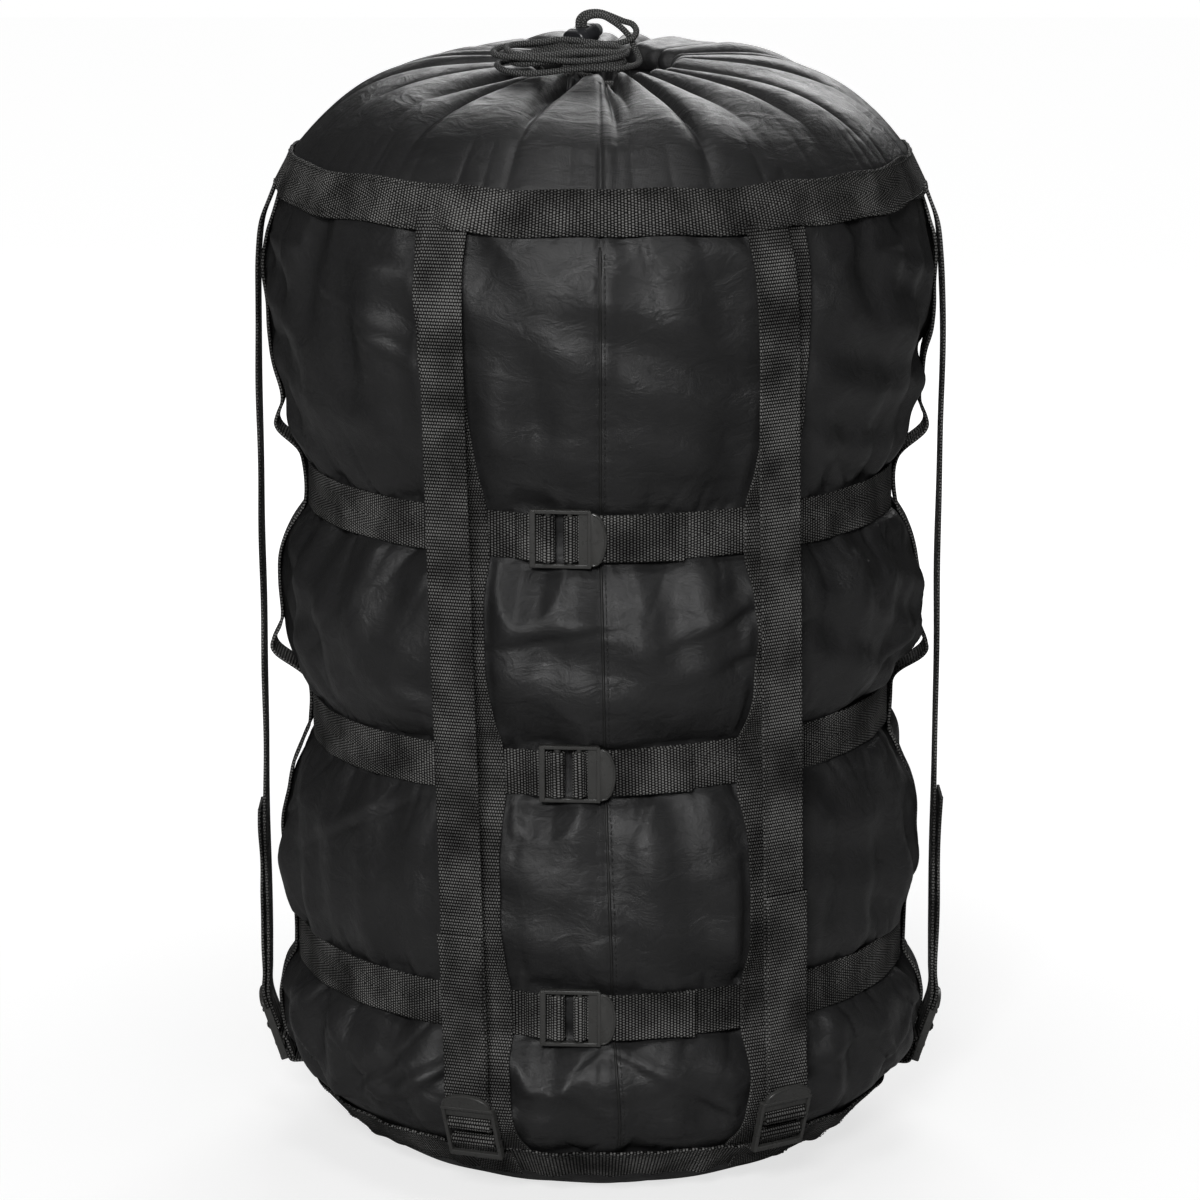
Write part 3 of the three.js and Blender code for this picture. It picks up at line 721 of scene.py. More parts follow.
def seam_x(z):
    """Where the front seam runs, in millimetres right of the middle."""
    return np.interp(z, [0, 60, 115, 248, 376, 560], [12, 10.5, 7.2, 3.0, 0.3, 0.0])


def arc_gap(turn, centre, radius):
    """Signed distance round the sack from a turn to a centre, in millimetres."""
    return ((turn - centre + math.pi) % (2 * math.pi) - math.pi) * radius


def shell_offsets():
    offset = resampled(simulated_offsets(100, 160), SHELL_ROWS, SHELL_COLS)
    z, t = SHELL_Z[:, None], SHELL_TURN[None, :]
    front = bell(arc_gap(t, 0.05, CLOTH_R), 95, 4) * (z > 130)
    offset *= 0.95 - 0.3 * front
    draw = np.random.default_rng(21)
    # broad soft ripples that lie mostly level
    for _ in range(60):
        k = draw.integers(2, 16)
        up = draw.uniform(0.05, 0.22)
        offset += 0.27 * draw.uniform(0.4, 1) * np.sin(k * t + up * z + draw.uniform(0, 6.28))
    # creases that run out from under each girth strap and ring
    edges = [(36.0, 1, 70, 1.8)]
    for _, gz, _ in GIRTHS.values():
        edges += [(gz - 13.5, -1, 58, 1.5), (gz + 13.5, 1, 58, 1.4)]
    edges.append((536.0, -1, 44, 1.2))
    for at, way, count, strength in edges:
        for centre in np.linspace(0, 2 * math.pi, count, endpoint=False):
            centre += draw.normal(0, 1.4 / count)
            reach, wide = draw.uniform(7, 24), draw.uniform(1.6, 3.2)
            deep, slant = strength * draw.uniform(0.7, 3.2), draw.normal(0, 0.4)
            d = (z - at) * way
            x = arc_gap(t, centre, 172.0) + slant * d
            near = np.where(d > -6, np.exp(-np.maximum(d, 0) / reach), 0)
            offset -= deep * near * (crease(x, wide) - 0.35 * bell(x, 3.2 * wide))
    # long slack folds, most of them near the base, each a soft ridge with a sharp lower edge
    for _ in range(74):
        low = draw.uniform() < 0.62
        cz = draw.uniform(46, 96) if low else draw.uniform(150, 520)
        ct = draw.uniform(0, 2 * math.pi)
        slant = draw.uniform(-0.9, 0.9) if low else draw.normal(0, 0.5)
        length, wide = draw.uniform(18, 48), draw.uniform(3.5, 7)
        x, y = arc_gap(t, ct, 176.0), z - cz
        u = (x + slant * y) / math.hypot(1, slant)
        v = (y - slant * x) / math.hypot(1, slant)
        offset += draw.uniform(1.0, 3.3) * bell(u, length) * (bell(v, wide) - 0.8 * crease(v + wide, 2.0))
    # the front seam: a stitched valley, lapped to one side, with small puckers across it
    x = arc_gap(t, 0.0, CLOTH_R) - seam_x(z)
    offset += 0.5 * bell(x - 4, 3.4, 4) - 1.1 * crease(x, 1.1)
    puckers = sum(np.sin(z / p + ph) for p, ph in ((1.25, 0.3), (1.9, 1.1), (3.1, 2.0)))
    offset += 0.16 * puckers * bell(x, 7.5)
    offset = np.where((z > 518) | (z < 46), np.minimum(offset, 0.1), offset)
    inside = (z > 30) & (z < 541)
    return offset * np.where(inside, 1, 0.25)


SHELL_OUT = shell_offsets()
waist_rows = in_waist(SHELL_Z, 0.3)
SHELL_OUT[waist_rows] = np.clip(SHELL_OUT[waist_rows], -1.5, 0.3)
SHELL_RADIUS = SHELL_R0[:, None] + SHELL_OUT


def line_angle(turn, lean, z, radius, sideways=0.0):
    """The angle round the sack at which a leaning line passes a height."""
    shift = (HALF_HEIGHT - z) * math.tan(math.radians(lean)) + sideways
    return math.radians(turn) + shift / radius


RUNNER_LIFT = 1.0
runner_curves = {}
for name, (_, _, _, turn, lean) in LINES.items():
    angle = line_angle(turn, lean, SHELL_Z, SHELL_R0)
    columns = [np.round((angle + w / SHELL_R0) / (2 * math.pi) * SHELL_COLS).astype(int) % SHELL_COLS
               for w in np.linspace(-10, 10, 9)]
    under = np.max([SHELL_RADIUS[np.arange(SHELL_ROWS), c] for c in columns], axis=0)
    base = SHELL_R0 + 0.5 * (np.clip(under - SHELL_R0, -1.0, 3.0))
    over = np.where(in_waist(SHELL_Z, 1.5), SHELL_R0 + 3.9, base + RUNNER_LIFT)
    runner_curves[name] = smoothed(over, 5)
    # the fabric stays under the runner, and closes up to it at both edges
    gap = arc_gap(SHELL_TURN[None, :], angle[:, None], SHELL_R0[:, None])
    pressed = 1.1 * (np.minimum(abs(gap), 14.0) / 12.5) ** 2
    limit = (runner_curves[name] - 0.85)[:, None] - pressed + np.maximum(abs(gap) - 14.0, 0) * 0.6
    held = np.minimum(SHELL_RADIUS, limit)
    SHELL_RADIUS = np.where(abs(gap) < 26, held, SHELL_RADIUS)

# each girth lock's back end swings in when its tab is lifted, so the fabric is pressed in there
LOCK_BACK_U = -19.0  # from the lock's middle
for r, gz, lock_turn in GIRTHS.values():
    off_side = abs(arc_gap(SHELL_TURN[None, :], math.radians(lock_turn) + LOCK_BACK_U / r, SHELL_R0[:, None]))
    off_height = abs(SHELL_Z - gz)[:, None]
    limit = r - 1.3 + 0.5 * np.maximum(off_side - 6.5, 0) + 0.7 * np.maximum(off_height - 16.5, 0)
    SHELL_RADIUS = np.minimum(SHELL_RADIUS, limit)

shell_x = SHELL_RADIUS * np.sin(SHELL_TURN)
shell_z = SHELL_Z[:, None] + tilt_of_waist(shell_x, SHELL_Z[:, None])
keep = (SHELL_Z > 22) & (SHELL_Z < 550)
shell_points = around(SHELL_RADIUS, SHELL_TURN, shell_z)[keep]
cloth_v = np.repeat(SHELL_S[keep], SHELL_COLS)


def wrapped_cloth(turns, r, v):
    """Where each point lies in the cloth, in millimetres, on a cylinder so that its noise has no join."""
    return {"cloth": np.stack([r * np.sin(turns), v, r * np.cos(turns)], -1), "cloth_u": turns * r, "cloth_v": v}


shell = make_piece("shell_fabric", shell_points, grid_faces(int(keep.sum()), SHELL_COLS), NYLON,
                   wrapped_cloth(np.tile(SHELL_TURN, keep.sum()), CLOTH_R, cloth_v))
BLEND = ("sack", "top", (0, 0, 0.392), (0, 0, 0.536))
settle(shell, replaces=("shell",), between=BLEND)


# ---------- the gathered collar, its hem and the base panel ----------
def pleats(count, seed, spread=0.35):
    draw = np.random.default_rng(seed)
    at = (np.arange(count) + draw.uniform(-spread, spread, count)) * 2 * math.pi / count
    return at, draw.uniform(0.45, 1.0, count), draw.uniform(0.6, 1.4, count), draw.uniform(0.0, 1.0, count)


def gathered(turn, share, seed=5):
    """How far gathers stand in from the smooth surface. share is 0 at the sewn ring and 1 at the drawn mouth."""
    depth = np.zeros(np.broadcast(turn, share).shape)
    for at, deep, wide, reach in zip(*pleats(21, seed)):
        start = 0.55 * reach**2
        grow = np.clip((share - start) / (1 - start + 1e-6), 0, 1)
        x = arc_gap(turn, at, 1.0)
        width = (0.034 + 0.03 * share) * wide
        depth = depth + deep * (0.18 * (1 - start) + grow**0.8) * crease(x, width)
        depth = depth - 0.3 * deep * grow * bell(x, 2.6 * width)
    for at, deep, wide, _ in zip(*pleats(52, seed + 1, 0.45)):  # short ones at the ring's edge
        x = arc_gap(turn, at, 1.0)
        depth = depth + 0.30 * deep * np.exp(-share / (0.10 * wide)) * crease(x, 0.016 * wide)
    return depth


COLLAR_COLS = 900
RING_R, RING_Z = TOP_RING[1]
MOUTH_R = 54
collar_turn = np.linspace(0, 2 * math.pi, COLLAR_COLS, endpoint=False)[None, :]
dome_r = np.concatenate([np.linspace(172, RING_R, 3)[:-1], np.linspace(RING_R, MOUTH_R, 84)])
dome_z = np.where(dome_r > RING_R, np.interp(dome_r, [RING_R, 172], [RING_Z, 549.0]),
                  RING_Z + (DOME_TOP - RING_Z) * (1 - (np.minimum(dome_r, RING_R) / RING_R) ** DOME_POWER))
lip_a = np.radians(np.linspace(78, 250, 22)[1:])
lip_r, lip_z = 47.5 + 6.6 * np.cos(lip_a), 600.4 + 6.6 * np.sin(lip_a)
deep_r, deep_z = np.linspace(42, 14, 14), np.linspace(592, 566, 14)
collar_line = np.stack([np.concatenate([dome_r, lip_r, deep_r]), np.concatenate([dome_z, lip_z, deep_z])], -1)
collar_s = distances(collar_line)
slope = unit(np.gradient(collar_line, axis=0))
collar_n = np.stack([slope[:, 1], -slope[:, 0]], -1)
share = np.clip((RING_R - collar_line[:, 0]) / (RING_R - MOUTH_R), 0, 1)
share[len(dome_r):] = 1.0
drawn = gathered(collar_turn, share[:, None])
height = np.interp(share, [0, 0.1, 0.4, 0.8, 1.0], [3.0, 8.0, 15.0, 17.0, 11.0])
height[len(dome_r) + 8:] = np.linspace(11.0, 9.0, len(collar_line) - len(dome_r) - 8)
draw = np.random.default_rng(8)
drape = sum(draw.uniform(0.3, 1.0) * np.sin(draw.integers(2, 11) * collar_turn + draw.uniform(0.01, 0.05)
            * collar_s[:, None] + draw.uniform(0, 6.28)) for _ in range(16))
fade = np.interp(collar_s, [0, 18, 60, 130, 175], [0, 0.15, 0.75, 0.4, 0.2])[:, None]
lift = 0.8 - drawn * height[:, None] + drape * fade
for at, deep in ((-0.32, 13.0), (0.13, 11.0)):  # two tight gathers under the hank
    lift = lift - deep * share[:, None] ** 3 * crease(arc_gap(collar_turn, at, 60.0), 2.6)
x = arc_gap(collar_turn, 0.0, collar_line[:, :1])
lift = lift - 0.9 * crease(x, 0.9) * (share[:, None] < 0.93) + 0.4 * bell(x - 4, 3, 4)
collar_r = np.maximum(collar_line[:, :1] + collar_n[:, :1] * lift, 3.0)
collar_h = collar_line[:, 1:] + collar_n[:, 1:] * lift
# the mouth leans forward: its back stands higher than its front
collar_h = collar_h + (2.0 - 0.07 * collar_r * np.cos(collar_turn)) * np.clip((150 - collar_r) / 60, 0, 1)
collar_cloth = wrapped_cloth(np.tile(collar_turn[0], len(collar_line)), 110.0, np.repeat(collar_s, COLLAR_COLS))
collar_points = around(collar_r, collar_turn, collar_h)
collar = make_piece("collar_fabric", collar_points, grid_faces(*collar_points.shape[:2]), NYLON, collar_cloth)
settle(collar, "top", ("collar", "mouth_hem"))

BASE_COLS = 480
base_line = spline([(2, 0.25), (60, 0.25), (BASE_FLAT_R, 0.3), (124, 2.4), (136, 8.2), BASE_RING[0],
                    (154, 25.5)], 2.2)
base_turn = np.linspace(0, 2 * math.pi, BASE_COLS, endpoint=False)[None, :]
near_ring = np.clip((base_line[:, :1] - 112) / 36, 0, 1)
ruck = np.maximum(gathered(base_turn, 1 - near_ring, seed=31), 0.0)
base_r = base_line[:, :1] - near_ring * ruck * 0.7 + 0.4 * near_ring
base_z = np.maximum(base_line[:, 1:] + near_ring * (ruck * 0.9 - 0.5 * np.sin(17 * base_turn + 1)), 0.2)
base_points = np.vstack([around(base_r, base_turn, base_z).reshape(-1, 3), [[0, 0, 0.25]]])
base_faces = [tuple(f) for f in grid_faces(len(base_line), BASE_COLS)]
base_faces += [((k + 1) % BASE_COLS, k, BASE_COLS * len(base_line)) for k in range(BASE_COLS)]
base_cloth = wrapped_cloth(np.append(np.tile(base_turn[0], len(base_line)), 0), 90.0,
                           np.append(np.repeat(base_line[:, 0], BASE_COLS), 0))
base = make_piece("base_fabric", base_points, base_faces, NYLON, base_cloth)
settle(base, "sack", ("base_panel",))

stuffing_line = spline([(1, 3), (100, 3), (134, 13), (152, 30), (172, 60), (160, 112), (172, 170), (154, 240),
                        (154, 256), (170, 300), (155, 370), (172, 430), (172, 500), (160, 552), (120, 572),
                        (40, 566), (1, 560)], 6)
stuffing_turn = np.linspace(0, 2 * math.pi, 120, endpoint=False)[None, :]
lumps = sum(np.sin(draw.integers(2, 9) * stuffing_turn + draw.uniform(0.02, 0.09) * stuffing_line[:, 1:]
            + draw.uniform(0, 6.28)) for _ in range(8)) * 0.5
stuffing_r = np.maximum(stuffing_line[:, :1] - 5 + lumps * np.minimum(stuffing_line[:, :1] / 60, 1), 0.5)
stuffing = make_piece("stuffing_fill", around(stuffing_r, stuffing_turn, stuffing_line[:, 1:]),
                      capped_faces(len(stuffing_line), stuffing_turn.size), STUFFING)
settle(stuffing, replaces=("stuffing",), between=BLEND)


# ---------- webbing rings ----------
RING_COLS = 900
RING_START = math.pi + 0.003  # each ring's two ends meet at the back


def ring_of_webbing(name, cone, seed, tucked, wavy):
    """Webbing sewn round a cone. tucked says which edge the straps go under: 1 its upper, -1 its lower."""
    (r0, z0), (r1, z1) = cone
    turn = RING_START + np.linspace(0, 2 * math.pi - 0.006, RING_COLS)
    up = unit(np.array([r1 - r0, z1 - z0]))
    out = np.array([up[1], -up[0]])
    mid = np.array([(r0 + r1) / 2, (z0 + z1) / 2]) + out * (LAYER_GAP + WEB_T / 2 + 0.3)
    draw = np.random.default_rng(seed)
    bob = 0.5 * wavy * sum(draw.uniform(0.3, 1) * np.sin(draw.integers(4, 22) * turn + draw.uniform(0, 6.28))
                           for _ in range(8))
    centre = around(mid[0] + up[0] * bob, turn, mid[1] + up[1] * bob)
    across, normal = around(up[0], turn, up[1]), around(out[0], turn, out[1])
    wave = ripple(22, 0.3 * wavy, seed, edge=0.8)
    wide = ripple(42, 0.85 * wavy, seed + 1, edge=0.9)
    lines = [math.radians(values[k]) for k in (0, 3) for values in LINES.values()]

    def shape_out(d, w):
        at = d / mid[0] + RING_START
        total = np.maximum(wave(d, w) + wide(d, w), -0.35)
        for line in lines:
            gap = arc_gap(at, line, mid[0])
            total = total + 1.5 * bell(gap, 15.5, 6) * np.clip(0.5 + tucked * w / 25.0, 0, 1)
        return total

    piece = ribbon(name, centre, across, normal, HERRINGBONE, wave=shape_out)
    return piece, (turn, mid, up, out, shape_out)


top_ring_piece, top_ring_frame = ring_of_webbing("top_ring_webbing", TOP_RING, 3, -1.0, 1.0)
settle(top_ring_piece, "top", ("top_ring",))
bottom_ring_piece, bottom_ring_frame = ring_of_webbing("bottom_ring_webbing", BASE_RING, 4, 1.0, 1.1)
settle(bottom_ring_piece, "sack", ("bottom_ring",))


# ---------- stitches ----------
def stitches(name, points, normals, pitch, length, width, body=None, between=None):
    """A row of small thread stitches along a path, lying on the surface whose normals are given."""
    d = distances(points)
    starts = np.arange(pitch / 2, d[-1] - length, pitch)
    verts, faces = [], []
    ring = 6
    a = np.linspace(0, 2 * math.pi, ring, endpoint=False)
    for s in starts:
        at = s + length * np.array([0, 0.12, 0.5, 0.88, 1])
        p = np.stack([np.interp(at, d, points[:, k]) for k in range(3)], -1)
        n = unit(np.array([np.interp(s, d, normals[:, k]) for k in range(3)]))
        t = unit(p[-1] - p[0])
        b = np.cross(t, n)
        sunk = np.array([-0.35, 0.05, 0.16, 0.05, -0.35])
        thick = np.array([0.5, 0.9, 1.0, 0.9, 0.5]) * width / 2
        spokes = b * np.cos(a)[None, :, None] + n * np.sin(a)[None, :, None]
        loops = p[:, None] + n * sunk[:, None, None] + spokes * thick[:, None, None]
        base = len(verts) * ring * 5
        verts.append(loops.reshape(-1, 3))
        faces += capped_faces(5, ring, base)
    piece = make_piece(name, np.vstack(verts), faces, THREAD)
    return settle(piece, body, between=between)


def ring_edge(frame_of_ring, w, lift):
    """A line along a ring, w from its middle and lift above it, and the way out of the webbing."""
    turn, mid, up, out, shape_out = frame_of_ring
    d = (turn - RING_START) * mid[0]
    n = shape_out(d[:, None], np.array([[w]]))[:, 0] + lift
    normal = around(out[0], turn, out[1])
    return around(mid[0] + up[0] * w, turn, mid[1] + up[1] * w) + normal * n[:, None], normal


for key, ring_frame, body in (("top", top_ring_frame, "top"), ("bottom", bottom_ring_frame, "sack")):
    for side, w in (("upper", 10.4), ("lower", -10.4)):
        path, normals = ring_edge(ring_frame, w, 0.85)
        stitches(f"{key}_ring_{side}_stitches", path, normals, 3.4, 2.3, 0.55, body)

seam_rows = np.where((SHELL_Z > 40) & (SHELL_Z < 534) & ~in_waist(SHELL_Z, -2))[0]


def seam_line(shift, lift):
    """A line on the fabric beside the front seam, lift above it, and the way out of the fabric."""
    angle = (seam_x(SHELL_Z) + shift) / CLOTH_R
    columns = np.round(angle / (2 * math.pi) * SHELL_COLS).astype(int) % SHELL_COLS
    radius = SHELL_RADIUS[np.arange(SHELL_ROWS), columns] + lift
    return around(radius, angle, SHELL_Z)[seam_rows], around(1.0, angle, 0.0)[seam_rows]


fold_line, _ = seam_line(0.0, 0.2)
settle(tube("front_seam_fold", fold_line, 0.85, THREAD, sides=8), between=BLEND)
stitches("front_seam_stitches", *seam_line(2.4, 0.15), 3.6, 2.5, 0.6, between=BLEND)


# ---------- ladder lock: rails, two bars, an end bar and a half-moon tab with a raised rim ----------
TAB_U, TAB_LENGTH, TAB_HALF = 22.4, 9.0, 14.2
TAB_END = TAB_U + TAB_LENGTH
GRIP = (11.7, 1.2)  # the grip bar's place, along the lock and out of it


def rounded(bm, edges, bevel, steps=3):
    bmesh.ops.bevel(bm, geom=edges, offset=bevel, segments=steps, profile=0.6, affect="EDGES",
                    clamp_overlap=True)


def rounded_bar(bm, low, high, bevel=0.5, steps=3):
    """A box between two corners with rounded edges."""
    low, high = np.array(low), np.array(high)
    made = bmesh.ops.create_cube(bm, size=1.0)["verts"]
    for v in made:
        v.co = Vector((low + high) / 2) + Vector(np.array(v.co) * (high - low))
    rounded(bm, list(dict.fromkeys(e for v in made for e in v.link_edges)), bevel, steps)


def rod(bm, r, length, place, segments=24):
    bmesh.ops.create_cone(bm, cap_ends=True, segments=segments, radius1=r, radius2=r, depth=length, matrix=place)


def half_moon(inset=0.0):
    """The tab's outline, from its left corner round to its right."""
    half = TAB_HALF - inset
    a = np.linspace(-math.pi / 2, math.pi / 2, 29)
    u = TAB_U + 2 + (TAB_LENGTH - 2 - inset) * np.cos(a)
    w = half * np.sin(a)
    return [(TAB_U + inset, -half), *zip(u, w), (TAB_U + inset, half)]


def plate(bm, outline, low, high, bevel):
    bottom = [bm.verts.new((u, w, low)) for u, w in outline]
    top = [bm.verts.new((u, w, high)) for u, w in outline]
    n = len(outline)
    for k in range(n):
        bm.faces.new((bottom[k], bottom[(k + 1) % n], top[(k + 1) % n], top[k]))
    lid, floor = bm.faces.new(top), bm.faces.new(bottom[::-1])
    rounded(bm, [*lid.edges, *floor.edges], bevel)


def ladder_lock_mesh():
    bm = bmesh.new()
    for side in (-1, 1):
        w0, w1 = sorted((side * 13.5, side * 15.6))
        rounded_bar(bm, (-9.6, w0, -1.2), (TAB_U, w1, 3.0), 0.7)
    rounded_bar(bm, (-9.6, -15.2, 0.5), (-6.4, 15.2, 3.2), 0.8)
    lying_across = Matrix.Rotation(math.pi / 2, 4, "X")
    rod(bm, 1.9, 28, lying_across)  # the anchor bar
    rod(bm, 1.5, 28, Matrix.Translation((GRIP[0], 0, GRIP[1])) @ lying_across)
    for k in range(11):  # teeth that grip the webbing
        rounded_bar(bm, (10.9, -12.2 + k * 2.2, 0.9), (12.9, -10.9 + k * 2.2, 2.9), 0.2, 1)
    rounded_bar(bm, (16.4, -13.8, 1.3), (TAB_U + 1, 13.8, 2.0), 0.25)
    rounded_bar(bm, (TAB_U - 1.2, -15.4, 1.5), (TAB_U + 0.8, 15.4, 3.6), 0.6)
    plate(bm, half_moon(), 1.6, 3.3, 0.45)
    rim = half_moon(0.7)[1:-1]
    for (u0, w0), (u1, w1) in zip(rim[:-1], rim[1:]):
        a, b = Vector((u0, w0, 3.15)), Vector((u1, w1, 3.15))
        span = b - a
        place = Matrix.Translation((a + b) / 2) @ span.to_track_quat("Z", "Y").to_matrix().to_4x4()
        rod(bm, 0.62, span.length * 1.12, place, segments=10)
    mesh = bpy.data.meshes.new("ladder_lock_shape")
    bm.to_mesh(mesh)
    bm.free()
    points = np.array([v.co for v in mesh.vertices], float)
    faces = [tuple(p.vertices) for p in mesh.polygons]
    bpy.data.meshes.remove(mesh)
    return points, faces


LOCK_POINTS, LOCK_FACES = ladder_lock_mesh()


def smooth_by_angle(piece, degrees=35):
    bm = bmesh.new()
    bm.from_mesh(piece.data)
    for e in bm.edges:
        e.smooth = not e.is_manifold or e.calc_face_angle(0) < math.radians(degrees)
    bm.to_mesh(piece.data)
    bm.free()


def lock_at(name, origin, u, n, body):
    """A ladder lock at its anchor bar's middle. It stands for the CAD node of its body's name."""
    w = np.cross(n, u)
    points = origin + LOCK_POINTS[:, :1] * u + LOCK_POINTS[:, 1:2] * w + LOCK_POINTS[:, 2:] * n
    piece = make_piece(name, points, LOCK_FACES, BUCKLE)
    smooth_by_angle(piece)
    settle(piece, body, (body,))


# ---------- the six vertical lines ----------
def radius_at(z):
    """The CAD shell's radius, on which a ladder lock's place is worked out."""
    low, high = BASE_RING[1], WAISTS[0][0]
    coarse = [low, *bulge(low, high, BULGE_R[0], 2.6, (0.25, 0.5, 0.75)), high]
    return float(np.interp(z, [p[1] for p in coarse], [p[0] for p in coarse]))


LOCK_Z, LOCK_LIFT, LOCK_MID_U = 57.0, 6.9, 11.0
tilt = math.atan2(radius_at(LOCK_Z + 6) - radius_at(LOCK_Z - 6), 12)
U_DIR = np.array([math.sin(tilt), math.cos(tilt)])
N_DIR = np.array([math.cos(tilt), -math.sin(tilt)])
LOCK_ORIGIN = np.array([radius_at(LOCK_Z), LOCK_Z]) + LOCK_LIFT * N_DIR - LOCK_MID_U * U_DIR


def from_lock(points):
    p = np.atleast_2d(np.array(points, float))
    return LOCK_ORIGIN + p[:, :1] * U_DIR + p[:, 1:] * N_DIR


def arc_points(u, n, r, start, end, steps):
    a = np.radians(np.linspace(start, end, steps + 1))
    return [(u + r * math.cos(x), n + r * math.sin(x)) for x in a]


HOOK = [(-12, -1.6), (-7.5, -1.2), *arc_points(0, 0, 3.1, 150, -90, 12), (-6, -3.1), (-11, -3.4)]
HOOK_BEND = [(-16, -2), (-10, -2)]  # two points on the loop beside its lock
FOLD = [(9.1, -0.4), *arc_points(*GRIP, 2.6, 180, 20, 10), (15.2, 0.5), (17, 0.2)]
RING_OUT = np.array([0.737, -0.677])  # the way out of the bottom ring, on which an anchor loop is sewn


for order, (name, (turn, lean, tail_top, runner_turn, runner_lean)) in enumerate(LINES.items()):
    runner_line = np.stack([runner_curves[name], SHELL_Z], -1)[(SHELL_Z > 24) & (SHELL_Z < 549)]
    if name.startswith("side"):  # slack curls above the two upper waists
        for waist in ("upper", "middle"):
            gz = GIRTHS[waist][1]
            runner_line[:, 0] += 10.0 * bell(runner_line[:, 1] - gz - 29, 11)
    piece = line_ribbon(f"runner_webbing_{name}", runner_line, runner_turn, runner_lean, WEBBING,
                        wave=ripple(42, 0.35, 40 + order, edge=0.6), conform=1.0)
    settle(piece, replaces=(f"runner_{name}",), between=BLEND)

    strap_line = np.vstack([
        from_lock([(8, -1.7), (TAB_END - 3, -1.7)]), [(STRAP_R + 0.4, 86)],
        [(STRAP_R, z) for z in (110, 200, 300, 400, 480)],
        [(189, 503), (186.6, 521), (181.8, 533.5), (178.4, 542)]])
    piece = line_ribbon(f"strap_webbing_{name}", spline(strap_line, 1.6), turn, lean, WEBBING,
                        wave=ripple(120, 0.4, 60 + order, edge=0.6))
    settle(piece, replaces=(f"strap_{name}",),
           between=("sack", "top", (0, 0, 0.1), (0, 0, 0.53)))

    on_ring = [np.array(BASE_RING[0]) * (1 - t) + np.array(BASE_RING[1]) * t + RING_OUT * 3.7
               for t in (0.05, 0.95)]
    anchor_line = spline(np.vstack([on_ring, from_lock(HOOK)]), 0.9)
    piece = line_ribbon(f"anchor_webbing_{name}", anchor_line, turn, lean, WEBBING, step=0.9)
    bend = [metres(line_place((r, 0, z), turn, lean)) for r, z in from_lock(HOOK_BEND)]
    settle(piece, replaces=(f"anchor_{name}",), between=("sack", f"ladder_lock_{name}", *bend))

    tail_line = spline(np.vstack([from_lock([*FOLD, (TAB_END, 0.2)]), [
        (192.6, 87), (192.9, 110), (193.1, tail_top - 20), (193.7, tail_top)]]), 1.3)
    piece = line_ribbon(f"tail_webbing_{name}", tail_line, turn, lean, WEBBING, step=1.3,
                        shape=flared_end(tail_line, 0.05, 9), wave=ripple(55, 0.5, 80 + order, edge=1.0))
    stretch = [metres(line_place((192.0, 0, z), turn, lean)) for z in (78.0, tail_top - 15)]
    settle(piece, replaces=(f"strap_tail_{name}",),
           between=(f"ladder_lock_{name}", f"strap_tail_{name}", *stretch))

    along, out = (turned((direction[0], 0, direction[1]), turn, lean) for direction in (U_DIR, N_DIR))
    lock_at(f"lock_{name}", line_place((LOCK_ORIGIN[0], 0, LOCK_ORIGIN[1]), turn, lean), along, out,
            f"ladder_lock_{name}")


# ---------- the three girth straps ----------
HOOK_SPLIT_U = -17.0  # where a girth strap's loop is parted from its ring, into a piece of its own


def flat_ribbon(name, line, z_at, material, wave, shape=None):
    """Webbing that stands on edge along a line of (x, y) points."""
    pts = evenly(np.asarray(line, float), 1.3)
    centre = np.column_stack([pts, z_at(pts)])
    along = unit(np.gradient(centre, axis=0))
    across = unit(UP - along * along[:, 2:])
    normal = np.cross(along, across)
    return ribbon(name, centre, across, normal, material, wave, shape)


def round_waist(radius, degrees):
    b = np.radians(np.asarray(degrees) - 90)
    return np.stack([radius * np.cos(b), radius * np.sin(b)], -1)


def waist_height(name, z):
    """How high the middle of a girth strap lies, at (x, y) points."""
    def at(points):
        return z + tilt_of_waist(points[:, 0], z) * (name == "middle")

    return at


def from_further(wave, start):
    """The same waviness, carried on from a distance along it."""
    def at(d, w):
        return wave(d + start, w)

    return at


